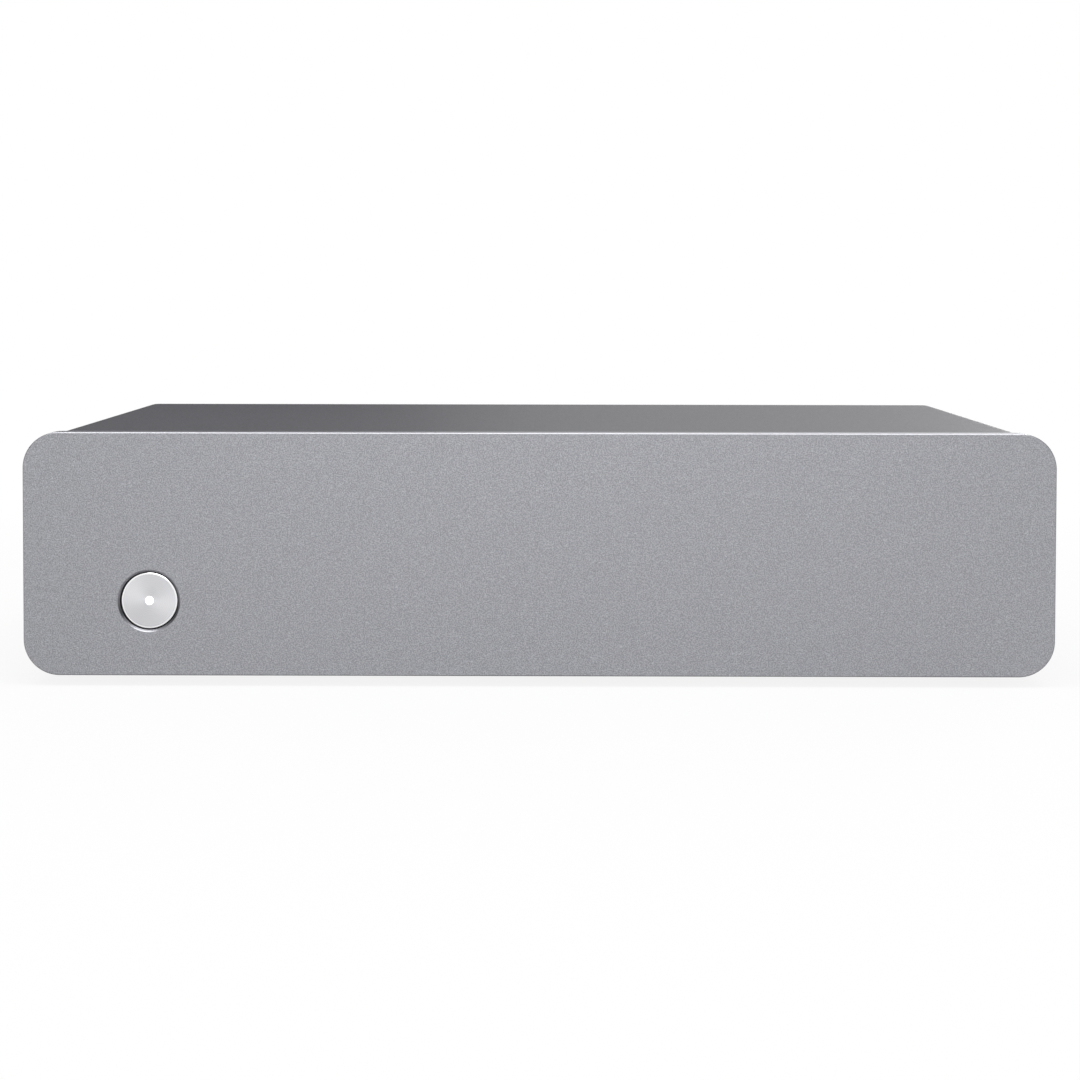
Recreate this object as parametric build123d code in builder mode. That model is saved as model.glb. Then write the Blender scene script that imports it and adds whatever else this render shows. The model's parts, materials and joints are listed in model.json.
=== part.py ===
from build123d import *
from math import cos, pi, sin
import os

# A half-width phono preamplifier: a slim metal case with one illuminated push button on its front panel.
# Millimetres. +X is to the right seen from the front, +Y runs to the back and +Z is up.
# The origin is on the floor, under the middle of the whole object.

os.makedirs("parts", exist_ok=True)

# Driving dimensions of the whole object
PANEL_WIDTH = 215.0
PANEL_HEIGHT = 50.8
PANEL_THICKNESS = 5.0
PANEL_CORNER = 7.5
PANEL_CHAMFER = 0.3
OVERALL_DEPTH = 158.0
CASE_DEPTH = 148.0
FOOT_DROP = 2.2
SHEET = 1.0
COVER_INSET = 0.6
COVER_OPENING_HALF = 86.0
BEND_RADIUS = 1.5

FRONT_Y = -OVERALL_DEPTH / 2
PANEL_BACK_Y = FRONT_Y + PANEL_THICKNESS
COVER_REAR_Y = FRONT_Y + CASE_DEPTH
MID_Z = FOOT_DROP + PANEL_HEIGHT / 2

# The cover is one sheet wrapped round the top, the sides and the lower corners
COVER_WIDTH = PANEL_WIDTH - 2 * COVER_INSET
COVER_HEIGHT = PANEL_HEIGHT - 2 * COVER_INSET
COVER_CORNER = PANEL_CORNER - COVER_INSET
COVER_BOTTOM_Z = FOOT_DROP + COVER_INSET
COVER_SCREW_X = 93.0
COVER_SCREW_Y = (-56.0, 56.0)

# The chassis is a folded tray inside the cover
TRAY_GAP = 0.5
TRAY_HALF_WIDTH = 99.5
BASE_Z = COVER_BOTTOM_Z + SHEET
BASE_TOP_Z = BASE_Z + SHEET
WALL_WIDTH = COVER_WIDTH - 2 * SHEET - 2 * TRAY_GAP
WALL_HEIGHT = COVER_HEIGHT - 2 * SHEET - 2 * TRAY_GAP
WALL_CORNER = COVER_CORNER - SHEET - TRAY_GAP
WALL_TOP_Z = MID_Z + WALL_HEIGHT / 2
WALL_OUT_Y = COVER_REAR_Y - 1.0
WALL_IN_Y = WALL_OUT_Y - SHEET
FRONT_WALL_IN_Y = PANEL_BACK_Y + SHEET
LIP_DEPTH = 8.0
RELIEF_WIDTH = 0.8
RELIEF_HEIGHT = 2.2
VENT_COUNT = 10
VENT_PITCH = 10.0
VENT_LENGTH = 46.0
VENT_WIDTH = 3.0

# Feet
FOOT_X = 74.0
FOOT_Y = 50.0
FOOT_RADIUS = 9.0
FOOT_EDGE = 0.9
FOOT_RECESS_RADIUS = 4.8
FOOT_RECESS_DEPTH = 1.4

# Power button
BUTTON_X = -81.3
BUTTON_Z = FOOT_DROP + 15.6
BUTTON_RADIUS = 5.85
BUTTON_HOLE_RADIUS = 6.1
BUTTON_HOLE_CHAMFER = 0.45
BUTTON_TRAVEL = 0.6
BUTTON_RECESS = 0.8
BUTTON_FACE_Y = FRONT_Y + BUTTON_RECESS
BUTTON_EDGE = 0.3
CAP_WALL = 1.0
LENS_RADIUS = 0.87
LIGHT_ROD_RADIUS = 1.5
ROD_SETBACK = 0.5
FLANGE_RADIUS = 6.9
FLANGE_FRONT_Y = FRONT_Y + 3.45
FLANGE_BACK_Y = FLANGE_FRONT_Y + 1.0
COUNTERBORE_RADIUS = 7.2
COUNTERBORE_DEPTH = 1.6
STEM_RADIUS = 3.6
STEM_END_Y = -65.8
ARM_REACH = 8.5
ARM_WIDTH = 4.4
ARM_THICKNESS = 1.8

# The button's guide and the switch board behind it
GUIDE_PLATE = 1.5
GUIDE_SIZE = (33.0, 20.5)
GUIDE_CORNER = 2.0
POST_OFFSETS = (-9.5, 15.5)
BOARD_MIDDLE_X = BUTTON_X + sum(POST_OFFSETS) / 2
GUIDE_MIDDLE = (BOARD_MIDDLE_X, BUTTON_Z + 2.5)
SPRING_CUP_RADIUS = 5.3
SPRING_CUP_WALL = 1.3
SPRING_SEAT_Y = -70.0
GUIDE_BACK_Y = -68.6
POST_RADIUS = 2.6
POST_BORE_DEPTH = 6.0
GUIDE_SCREW_RISE = 9.5
WIRE_RADIUS = 0.24
SPRING_RADIUS = 4.5
SPRING_TURNS = 3
SPRING_CHORDS = 15
SWITCH_BOARD_Y = -60.8
SWITCH_BOARD_SIZE = (33.0, 17.0)
SWITCH_SCREW_GRIP = 5.0
BOARD_THICKNESS = 1.6
SWITCH_BOARD_BACK_Y = SWITCH_BOARD_Y + BOARD_THICKNESS
SWITCH_X = BUTTON_X + ARM_REACH
SWITCH_SIZE = 6.0
SWITCH_DEPTH = 3.5
SWITCH_BORE = 1.8
SWITCH_CLEARANCE = 0.05
LAMP_RADIUS = 1.5
LAMP_FLANGE = (1.9, 0.9)
LAMP_EDGE = 0.6
LAMP_TIP_Y = STEM_END_Y + 1.2

# Main circuit board
BOARD_Z = BASE_TOP_Z + 6.0
BOARD_TOP_Z = BOARD_Z + BOARD_THICKNESS
BOARD_WIDTH = 194.0
BOARD_FRONT_Y = -52.0
BOARD_REAR_Y = WALL_IN_Y - 1.0
BOARD_NOTCH = (14.0, 30.0)
PILLARS = [(-92.0, -46.0), (92.0, -46.0), (-90.0, 26.0), (92.0, 44.0)]

# Mains inlet
INLET_X = -70.0
INLET_FLANGE = 2.2
INLET_FLANGE_SIZE = (31.0, 23.6)
INLET_CORNER = 2.0
INLET_SCREW_SPACING = 40.0
INLET_EAR_RADIUS = 5.2
INLET_BODY = (27.2, 19.8)
INLET_CAVITY = (24.2, 16.6)
CAVITY_BEVEL = 4.6
INLET_FACE_Y = WALL_OUT_Y + INLET_FLANGE
CAVITY_FLOOR_Y = WALL_OUT_Y - 14.4
INLET_BACK_Y = CAVITY_FLOOR_Y - 3.0
BLADE_END_Y = WALL_OUT_Y - 0.8
BLADE_SIZE = (2.0, 4.0)
BLADES = [(-7.0, -2.0), (7.0, -2.0), (0.0, 2.0)]
EARTH_STUD = (-90.0, 50.0)

# Signal sockets, balance control and ground terminal
INPUT_X = 68.0
OUTPUT_X = 40.0
JACK_PITCH = 14.0
UPPER_JACK_Z = MID_Z + JACK_PITCH / 2
LOWER_JACK_Z = MID_Z - JACK_PITCH / 2
JACK_BOSS_RADIUS = 4.8
JACK_BLOCK_WIDTH = 14.0
JACK_BLOCK_DEPTH = 12.0
JACK_BOSS_END_Y = WALL_OUT_Y + 1.0
SHELL_RADIUS = 4.15
SHELL_WALL = 0.6
SHELL_TAIL_RADIUS = 4.0
SHELL_FLOOR_Y = WALL_IN_Y - 6.0
SHELL_END_Y = WALL_OUT_Y + 10.0
CONTACT_RADIUS = 2.0
CONTACT_BORE = 1.70
BALANCE_X = 8.0
BALANCE_BUSH_RADIUS = 3.5
BALANCE_BUSH_END_Y = WALL_OUT_Y + 3.6
BALANCE_SHAFT_RADIUS = 3.0
KNOB_RADIUS = 6.2
KNOB_FLUTES = 12
GROUND_X = 90.0
GROUND_STUD_RADIUS = 1.95
GROUND_BASE_Y = WALL_OUT_Y + 1.6

# Small fasteners have flat-sided heads and shanks, and the holes that take them match
SMALL_SIDES = 10
SCREW_SIDES = 8
ROUND_SIDES = 18
M3_RADIUS = 1.45
M3_HOLE = 1.7
M3_TAPPED = 1.6
M3_HEAD = (2.8, 1.9)
M3_LOW_HEAD = (2.8, 1.4)
M3_NUT = (5.5, 2.4)
HEAD_TAPER = 14
SMALL_SCREW_RADIUS = 1.05
SMALL_SCREW_HOLE = 1.16
SMALL_HEAD = (2.1, 1.4)
SIDE_CLEARANCE = 0.03


def upright(y):
    """The upright plane at depth y. Its x is X, its y is Z, and extrude(amount) runs forwards from it."""
    return Plane.XZ.offset(-y)


def save(piece, name):
    """Labels a finished piece and writes it as its own STEP file."""
    piece.part.label = name
    export_step(piece.part, f"parts/{name}.step")


def disc(radius, mode=Mode.ADD):
    """A round outline in flat facets, for what repeats or stays inside, in the sketch being drawn."""
    return RegularPolygon(radius, ROUND_SIDES, mode=mode)


def small_disc(radius, mode=Mode.ADD):
    """The same for what is only a few millimetres across."""
    return RegularPolygon(radius, SMALL_SIDES, mode=mode)


def screw_hole(radius, mode=Mode.ADD):
    """The flat-sided hole that a small screw goes through, in the sketch being drawn."""
    return RegularPolygon(radius, SCREW_SIDES, mode=mode)


def pan_screw(shank_radius, length, head):
    """A pan-head screw on Z: its tapered head stands above z = 0 and its shank hangs below."""
    head_radius, head_height = head
    with BuildPart() as screw:
        with BuildSketch():
            RegularPolygon(head_radius, SCREW_SIDES)
        extrude(amount=head_height, taper=HEAD_TAPER)
        with BuildSketch():
            RegularPolygon(shank_radius, SCREW_SIDES)
        extrude(amount=-length)
    return screw.part


def hex_nut(across_flats, thickness, bore_radius):
    """A hexagon nut that stands on z = 0."""
    with BuildPart() as nut:
        with BuildSketch():
            RegularPolygon(across_flats / 2, 6, major_radius=False)
            RegularPolygon(bore_radius, SCREW_SIDES, mode=Mode.SUBTRACT)
        extrude(amount=thickness)
    return nut.part


def facing_back(x, y, z):
    """A place on an upright face whose +Z points to the back of the object."""
    return Location((x, y, z), (-90, 0, 0))


def facing_front(x, y, z):
    """A place on an upright face whose +Z points to the front of the object."""
    return Location((x, y, z), (90, 0, 0))


# Front panel: thick aluminium plate with the button hole, its counterbore and blind screw holes behind
PANEL_SCREWS = [(-99.0, 10.0), (99.0, 10.0), (-70.0, 44.0), (70.0, 44.0)]
PANEL_SCREW_DEPTH = 3.4
TAP_ALLOWANCE = 0.3
BUTTON_PLACE = (BUTTON_X, BUTTON_Z)

with BuildPart() as front_panel:
    with BuildSketch(upright(PANEL_BACK_Y)):
        with Locations((0, MID_Z)):
            RectangleRounded(PANEL_WIDTH, PANEL_HEIGHT, PANEL_CORNER)
    extrude(amount=PANEL_THICKNESS)
    chamfer(front_panel.faces().sort_by(Axis.Y)[0].edges(), PANEL_CHAMFER)
    with BuildSketch(upright(PANEL_BACK_Y)):
        with Locations(BUTTON_PLACE):
            Circle(BUTTON_HOLE_RADIUS)
    extrude(amount=PANEL_THICKNESS, mode=Mode.SUBTRACT)
    rims = front_panel.edges().filter_by(lambda e: e.geom_type == GeomType.CIRCLE and e.is_closed)
    chamfer(rims.sort_by(Axis.Y)[0], BUTTON_HOLE_CHAMFER)
    with BuildSketch(upright(PANEL_BACK_Y)):
        with Locations(BUTTON_PLACE):
            disc(COUNTERBORE_RADIUS)
    extrude(amount=COUNTERBORE_DEPTH, mode=Mode.SUBTRACT)
    with BuildSketch(upright(PANEL_BACK_Y)):
        with Locations(*PANEL_SCREWS):
            screw_hole(M3_TAPPED)
    extrude(amount=PANEL_SCREW_DEPTH + TAP_ALLOWANCE, mode=Mode.SUBTRACT)
save(front_panel, "front_panel")

with BuildPart() as front_panel_screws:
    with Locations(*[facing_back(x, FRONT_WALL_IN_Y, z) for x, z in PANEL_SCREWS]):
        add(pan_screw(M3_RADIUS, SHEET + PANEL_SCREW_DEPTH, M3_HEAD))
save(front_panel_screws, "front_panel_screws")


# Cover: sheet steel, open below between its two return flanges
COVER_SCREWS = [(side * COVER_SCREW_X, y) for side in (-1, 1) for y in COVER_SCREW_Y]
COVER_SCREW_TIP = 2.6

with BuildPart() as cover:
    with BuildSketch(upright(COVER_REAR_Y)):
        with Locations((0, MID_Z)):
            RectangleRounded(COVER_WIDTH, COVER_HEIGHT, COVER_CORNER)
            RectangleRounded(
                COVER_WIDTH - 2 * SHEET,
                COVER_HEIGHT - 2 * SHEET,
                COVER_CORNER - SHEET,
                mode=Mode.SUBTRACT,
            )
        with Locations((0, COVER_BOTTOM_Z)):
            Rectangle(2 * COVER_OPENING_HALF, 3 * SHEET, mode=Mode.SUBTRACT)
    extrude(amount=COVER_REAR_Y - PANEL_BACK_Y)
    with BuildSketch(Plane.XY.offset(COVER_BOTTOM_Z)):
        with Locations(*COVER_SCREWS):
            screw_hole(M3_HOLE)
    extrude(amount=SHEET, mode=Mode.SUBTRACT)
save(cover, "cover")

with BuildPart() as cover_screws:
    with Locations(*[Location((x, y, COVER_BOTTOM_Z), (180, 0, 0)) for x, y in COVER_SCREWS]):
        add(pan_screw(M3_RADIUS, 2 * SHEET + COVER_SCREW_TIP, M3_LOW_HEAD))
save(cover_screws, "cover_screws")


# Chassis: base, front wall and rear wall folded from one sheet, with stiffening lips along the tops
GUIDE_SCREWS = [(BUTTON_X + dx, BUTTON_Z + GUIDE_SCREW_RISE) for dx in POST_OFFSETS]
INLET_SCREWS = [(INLET_X + side * INLET_SCREW_SPACING / 2, MID_Z) for side in (-1, 1)]
JACK_BLOCK_SCREWS = [(OUTPUT_X, MID_Z), (INPUT_X, MID_Z)]
JACKS = [(x, z) for x in (OUTPUT_X, INPUT_X) for z in (UPPER_JACK_Z, LOWER_JACK_Z)]
FLANGE_HOLE_RADIUS = COUNTERBORE_RADIUS + 1.0
CLEARANCE_CUT = 0.15

with BuildPart() as chassis:
    middle = SHEET / 2
    with BuildSketch(Plane.YZ):
        with BuildLine():
            FilletPolyline(
                (PANEL_BACK_Y + middle + LIP_DEPTH, WALL_TOP_Z - middle),
                (PANEL_BACK_Y + middle, WALL_TOP_Z - middle),
                (PANEL_BACK_Y + middle, BASE_Z + middle),
                (WALL_OUT_Y - middle, BASE_Z + middle),
                (WALL_OUT_Y - middle, WALL_TOP_Z - middle),
                (WALL_OUT_Y - middle - LIP_DEPTH, WALL_TOP_Z - middle),
                radius=BEND_RADIUS,
            )
        trace(line_width=SHEET)
    extrude(amount=TRAY_HALF_WIDTH, both=True)
    for wall_y in (FRONT_WALL_IN_Y, WALL_OUT_Y):
        with BuildSketch(upright(wall_y)):
            with Locations((0, MID_Z)):
                RectangleRounded(WALL_WIDTH, WALL_HEIGHT, WALL_CORNER)
            with Locations((0, BASE_Z), (0, WALL_TOP_Z)):
                Rectangle(
                    2 * (TRAY_HALF_WIDTH + RELIEF_WIDTH), 2 * RELIEF_HEIGHT, mode=Mode.SUBTRACT
                )
        extrude(amount=SHEET)
    with BuildSketch(Plane.XY.offset(BASE_Z)):
        with GridLocations(VENT_PITCH, 0, VENT_COUNT, 1):
            Rectangle(VENT_WIDTH, VENT_LENGTH)
        with Locations(*COVER_SCREWS):
            screw_hole(M3_TAPPED)
        with Locations(EARTH_STUD):
            screw_hole(M3_HOLE)
    extrude(amount=SHEET, mode=Mode.SUBTRACT)
    with BuildSketch(upright(FRONT_WALL_IN_Y)):
        with Locations(BUTTON_PLACE):
            disc(FLANGE_HOLE_RADIUS)
        with Locations(*PANEL_SCREWS):
            screw_hole(M3_HOLE)
        with Locations(*GUIDE_SCREWS):
            screw_hole(M3_TAPPED)
    extrude(amount=SHEET, mode=Mode.SUBTRACT)
    with BuildSketch(upright(WALL_OUT_Y)):
        with Locations((INLET_X, MID_Z)):
            Rectangle(INLET_BODY[0] + 2 * CLEARANCE_CUT, INLET_BODY[1] + 2 * CLEARANCE_CUT)
        with Locations(*INLET_SCREWS):
            screw_hole(M3_HOLE)
        with Locations(*JACKS):
            disc(JACK_BOSS_RADIUS + CLEARANCE_CUT)
        with Locations(*JACK_BLOCK_SCREWS):
            screw_hole(SMALL_SCREW_HOLE)
        with Locations((BALANCE_X, MID_Z)):
            disc(BALANCE_BUSH_RADIUS + CLEARANCE_CUT)
        with Locations((GROUND_X, MID_Z)):
            screw_hole(GROUND_STUD_RADIUS + 2 * CLEARANCE_CUT)
    extrude(amount=SHEET, mode=Mode.SUBTRACT)
save(chassis, "chassis")


# Feet: soft discs bonded to the base, with a chamfered sole round a sunk middle
FOOT_PLACES = [(x, y) for x in (-FOOT_X, FOOT_X) for y in (-FOOT_Y, FOOT_Y)]

with BuildPart() as rubber_feet:
    with BuildSketch(Plane.XY.offset(BASE_Z)):
        with Locations(*FOOT_PLACES):
            disc(FOOT_RADIUS)
    extrude(amount=-BASE_Z)
    soles = rubber_feet.faces().group_by(Axis.Z)[0].edges()
    chamfer(soles, FOOT_EDGE)
    with BuildSketch(Plane.XY):
        with Locations(*FOOT_PLACES):
            small_disc(FOOT_RECESS_RADIUS)
    extrude(amount=FOOT_RECESS_DEPTH, mode=Mode.SUBTRACT)
save(rubber_feet, "rubber_feet")


# Power button: a turned cap on a plastic plunger, lit from behind through a clear rod
with BuildPart() as power_button:
    with BuildSketch(upright(FLANGE_FRONT_Y)):
        with Locations(BUTTON_PLACE):
            Circle(BUTTON_RADIUS)
    extrude(amount=FLANGE_FRONT_Y - BUTTON_FACE_Y)
    chamfer(power_button.faces().sort_by(Axis.Y)[0].edges(), BUTTON_EDGE)
    with BuildSketch(upright(FLANGE_FRONT_Y)):
        with Locations(BUTTON_PLACE):
            disc(BUTTON_RADIUS - CAP_WALL)
    extrude(amount=FLANGE_FRONT_Y - BUTTON_FACE_Y - CAP_WALL, mode=Mode.SUBTRACT)
    with BuildSketch(upright(FLANGE_FRONT_Y)):
        with Locations(BUTTON_PLACE):
            disc(LENS_RADIUS + SIDE_CLEARANCE)
    extrude(amount=FLANGE_FRONT_Y - BUTTON_FACE_Y, mode=Mode.SUBTRACT)
save(power_button, "power_button")

with BuildPart() as button_plunger:
    with BuildSketch(upright(FLANGE_FRONT_Y)):
        with Locations(BUTTON_PLACE):
            disc(BUTTON_RADIUS - CAP_WALL - SIDE_CLEARANCE)
    extrude(amount=FLANGE_FRONT_Y - BUTTON_FACE_Y - CAP_WALL)
    with BuildSketch(upright(FLANGE_BACK_Y)):
        with Locations(BUTTON_PLACE):
            disc(FLANGE_RADIUS)
    extrude(amount=FLANGE_BACK_Y - FLANGE_FRONT_Y)
    with BuildSketch(upright(STEM_END_Y)):
        with Locations(BUTTON_PLACE):
            disc(STEM_RADIUS)
    extrude(amount=STEM_END_Y - FLANGE_BACK_Y)
    with BuildSketch(upright(STEM_END_Y)):
        with Locations(BUTTON_PLACE):
            Rectangle(ARM_REACH + ARM_WIDTH / 2, ARM_WIDTH, align=(Align.MIN, Align.CENTER))
    extrude(amount=ARM_THICKNESS)
    with BuildSketch(upright(STEM_END_Y)):
        with Locations(BUTTON_PLACE):
            small_disc(LIGHT_ROD_RADIUS + SIDE_CLEARANCE)
    extrude(amount=STEM_END_Y - BUTTON_FACE_Y, mode=Mode.SUBTRACT)
save(button_plunger, "button_plunger")

with BuildPart() as button_light_rod:
    with BuildSketch(upright(STEM_END_Y - ROD_SETBACK)):
        with Locations(BUTTON_PLACE):
            small_disc(LIGHT_ROD_RADIUS)
    extrude(amount=STEM_END_Y - ROD_SETBACK - BUTTON_FACE_Y - CAP_WALL)
    with BuildSketch(upright(BUTTON_FACE_Y + CAP_WALL)):
        with Locations(BUTTON_PLACE):
            disc(LENS_RADIUS)
    extrude(amount=CAP_WALL)
save(button_light_rod, "button_light_rod")

# Guide behind the front wall: it carries the plunger, the spring's seat and the switch board
BOARD_POSTS = [(BUTTON_X + dx, BUTTON_Z) for dx in POST_OFFSETS]

with BuildPart() as button_guide:
    with BuildSketch(upright(FRONT_WALL_IN_Y + GUIDE_PLATE)):
        with Locations(GUIDE_MIDDLE):
            RectangleRounded(*GUIDE_SIZE, GUIDE_CORNER)
    extrude(amount=GUIDE_PLATE)
    with BuildSketch(upright(GUIDE_BACK_Y)):
        with Locations(BUTTON_PLACE):
            disc(SPRING_CUP_RADIUS + SPRING_CUP_WALL)
    extrude(amount=GUIDE_BACK_Y - FRONT_WALL_IN_Y)
    with BuildSketch(upright(SPRING_SEAT_Y)):
        with Locations(BUTTON_PLACE):
            disc(SPRING_CUP_RADIUS)
    extrude(amount=SPRING_SEAT_Y - FRONT_WALL_IN_Y, mode=Mode.SUBTRACT)
    with BuildSketch(upright(GUIDE_BACK_Y)):
        with Locations(BUTTON_PLACE):
            disc(STEM_RADIUS + 2 * SIDE_CLEARANCE)
    extrude(amount=GUIDE_BACK_Y - SPRING_SEAT_Y, mode=Mode.SUBTRACT)
    with BuildSketch(upright(SWITCH_BOARD_Y)):
        with Locations(*BOARD_POSTS):
            screw_hole(POST_RADIUS)
    extrude(amount=SWITCH_BOARD_Y - FRONT_WALL_IN_Y - GUIDE_PLATE)
    with BuildSketch(upright(SWITCH_BOARD_Y)):
        with Locations(*BOARD_POSTS):
            screw_hole(SMALL_SCREW_HOLE)
    extrude(amount=POST_BORE_DEPTH, mode=Mode.SUBTRACT)
    with BuildSketch(upright(FRONT_WALL_IN_Y + GUIDE_PLATE)):
        with Locations(*GUIDE_SCREWS):
            screw_hole(M3_HOLE)
    extrude(amount=GUIDE_PLATE, mode=Mode.SUBTRACT)
save(button_guide, "button_guide")

with BuildPart() as button_guide_screws:
    with Locations(*[facing_back(x, FRONT_WALL_IN_Y + GUIDE_PLATE, z) for x, z in GUIDE_SCREWS]):
        add(pan_screw(M3_RADIUS, GUIDE_PLATE + SHEET, M3_HEAD))
save(button_guide_screws, "button_guide_screws")

# Return spring: a few turns of wire between the plunger's flange and the guide's seat
spring_start_y = FLANGE_BACK_Y + WIRE_RADIUS + SIDE_CLEARANCE
spring_length = SPRING_SEAT_Y - FLANGE_BACK_Y - 2 * (WIRE_RADIUS + SIDE_CLEARANCE)

coil_steps = int(SPRING_TURNS * SPRING_CHORDS)
coil_points = [
    (
        BUTTON_X + SPRING_RADIUS * cos(2 * pi * step / SPRING_CHORDS),
        spring_start_y + spring_length * step / coil_steps,
        BUTTON_Z + SPRING_RADIUS * sin(2 * pi * step / SPRING_CHORDS),
    )
    for step in range(coil_steps + 1)
]

with BuildPart() as button_return_spring:
    with BuildLine():
        coil = Polyline(*coil_points)
    with BuildSketch(Plane(origin=coil @ 0, x_dir=(1, 0, 0), z_dir=coil % 0)):
        RegularPolygon(WIRE_RADIUS, 6)
    sweep(path=coil, transition=Transition.RIGHT)
save(button_return_spring, "button_return_spring")

# Switch board with its push switch and its lamp
with BuildPart() as switch_board:
    with BuildSketch(upright(SWITCH_BOARD_BACK_Y)):
        with Locations((BOARD_MIDDLE_X, BUTTON_Z)):
            Rectangle(*SWITCH_BOARD_SIZE)
        with Locations(*BOARD_POSTS):
            screw_hole(SMALL_SCREW_HOLE, mode=Mode.SUBTRACT)
    extrude(amount=BOARD_THICKNESS)
save(switch_board, "switch_board")

with BuildPart() as switch_board_screws:
    with Locations(*[facing_back(x, SWITCH_BOARD_BACK_Y, z) for x, z in BOARD_POSTS]):
        add(pan_screw(SMALL_SCREW_RADIUS, BOARD_THICKNESS + SWITCH_SCREW_GRIP, SMALL_HEAD))
save(switch_board_screws, "switch_board_screws")

with BuildPart() as switch_housing:
    with BuildSketch(upright(SWITCH_BOARD_Y)):
        with Locations((SWITCH_X, BUTTON_Z)):
            Rectangle(SWITCH_SIZE, SWITCH_SIZE)
            small_disc(SWITCH_BORE, mode=Mode.SUBTRACT)
    extrude(amount=SWITCH_DEPTH)
save(switch_housing, "switch_housing")

STEM_ROOM = 0.2
switch_stem_end_y = SWITCH_BOARD_Y - BUTTON_TRAVEL - STEM_ROOM
with BuildPart() as switch_stem:
    with BuildSketch(upright(switch_stem_end_y)):
        with Locations((SWITCH_X, BUTTON_Z)):
            small_disc(SWITCH_BORE - SWITCH_CLEARANCE)
    extrude(amount=switch_stem_end_y - STEM_END_Y - SWITCH_CLEARANCE)
save(switch_stem, "switch_stem")

with BuildPart() as indicator_lamp:
    with BuildSketch(upright(SWITCH_BOARD_Y)):
        with Locations(BUTTON_PLACE):
            small_disc(LAMP_FLANGE[0])
    extrude(amount=LAMP_FLANGE[1])
    with BuildSketch(upright(SWITCH_BOARD_Y)):
        with Locations(BUTTON_PLACE):
            small_disc(LAMP_RADIUS)
    extrude(amount=SWITCH_BOARD_Y - LAMP_TIP_Y)
    chamfer(indicator_lamp.faces().sort_by(Axis.Y)[0].edges(), LAMP_EDGE)
save(indicator_lamp, "indicator_lamp")

# Ribbon lead arched between two plugs, from the switch board to the main board
RIBBON_WIDTH = 7.5
RIBBON_THICKNESS = 1.0
RIBBON_BEND = 3.0
FIRST_BEND = (2.0, 2.5)
PLUG_SIZE = (10.0, 5.0)
PLUG_DEPTH = 5.8
PLUG_Z = BUTTON_Z + 4.0
HEADER_Y = -38.0
plug_back_y = SWITCH_BOARD_BACK_Y + PLUG_DEPTH
ribbon_rise_y = plug_back_y + 4.5
ribbon_arch_z = PLUG_Z + 9.0

with BuildPart() as ribbon_plugs:
    with BuildSketch(upright(plug_back_y)):
        with Locations((BOARD_MIDDLE_X, PLUG_Z)):
            Rectangle(*PLUG_SIZE)
    extrude(amount=PLUG_DEPTH)
    with BuildSketch(Plane.XY.offset(BOARD_TOP_Z)):
        with Locations((BOARD_MIDDLE_X, HEADER_Y)):
            Rectangle(*PLUG_SIZE)
    extrude(amount=PLUG_DEPTH)
save(ribbon_plugs, "ribbon_plugs")

with BuildPart() as ribbon_lead:
    with BuildSketch(Plane.YZ.offset(BOARD_MIDDLE_X)):
        with BuildLine():
            Polyline(
                (plug_back_y, PLUG_Z),
                (ribbon_rise_y - FIRST_BEND[0], PLUG_Z),
                (ribbon_rise_y, PLUG_Z + FIRST_BEND[1]),
                (ribbon_rise_y, ribbon_arch_z - RIBBON_BEND),
                (ribbon_rise_y + RIBBON_BEND, ribbon_arch_z),
                (HEADER_Y - RIBBON_BEND, ribbon_arch_z),
                (HEADER_Y, ribbon_arch_z - RIBBON_BEND),
                (HEADER_Y, BOARD_TOP_Z + PLUG_DEPTH),
            )
        trace(line_width=RIBBON_THICKNESS)
    extrude(amount=RIBBON_WIDTH / 2, both=True)
save(ribbon_lead, "ribbon_lead")


# Main circuit board on its pillars, notched at one rear corner to leave room for the earth stud
PILLAR_FLATS = 5.5
PILLAR_SCREW_GRIP = 4.5
board_middle_y = (BOARD_FRONT_Y + BOARD_REAR_Y) / 2

with BuildPart() as main_board:
    with BuildSketch(Plane.XY.offset(BOARD_Z)):
        with Locations((0, board_middle_y)):
            Rectangle(BOARD_WIDTH, BOARD_REAR_Y - BOARD_FRONT_Y)
        with Locations((-BOARD_WIDTH / 2, BOARD_REAR_Y)):
            Rectangle(*BOARD_NOTCH, align=(Align.MIN, Align.MAX), mode=Mode.SUBTRACT)
        with Locations(*PILLARS):
            screw_hole(M3_HOLE, mode=Mode.SUBTRACT)
    extrude(amount=BOARD_THICKNESS)
save(main_board, "main_board")

with BuildPart() as board_pillars:
    with BuildSketch(Plane.XY.offset(BASE_TOP_Z)):
        with Locations(*PILLARS):
            RegularPolygon(PILLAR_FLATS / 2, 6, major_radius=False)
            screw_hole(M3_TAPPED, mode=Mode.SUBTRACT)
    extrude(amount=BOARD_Z - BASE_TOP_Z)
save(board_pillars, "board_pillars")

with BuildPart() as board_screws:
    with Locations(*[Location((x, y, BOARD_TOP_Z)) for x, y in PILLARS]):
        add(pan_screw(M3_RADIUS, BOARD_THICKNESS + PILLAR_SCREW_GRIP, M3_HEAD))
save(board_screws, "board_screws")


# Mains inlet: a three-blade socket with two bevelled upper corners, screwed to the rear wall
INLET_SCREW_TIP = 3.6

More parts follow.
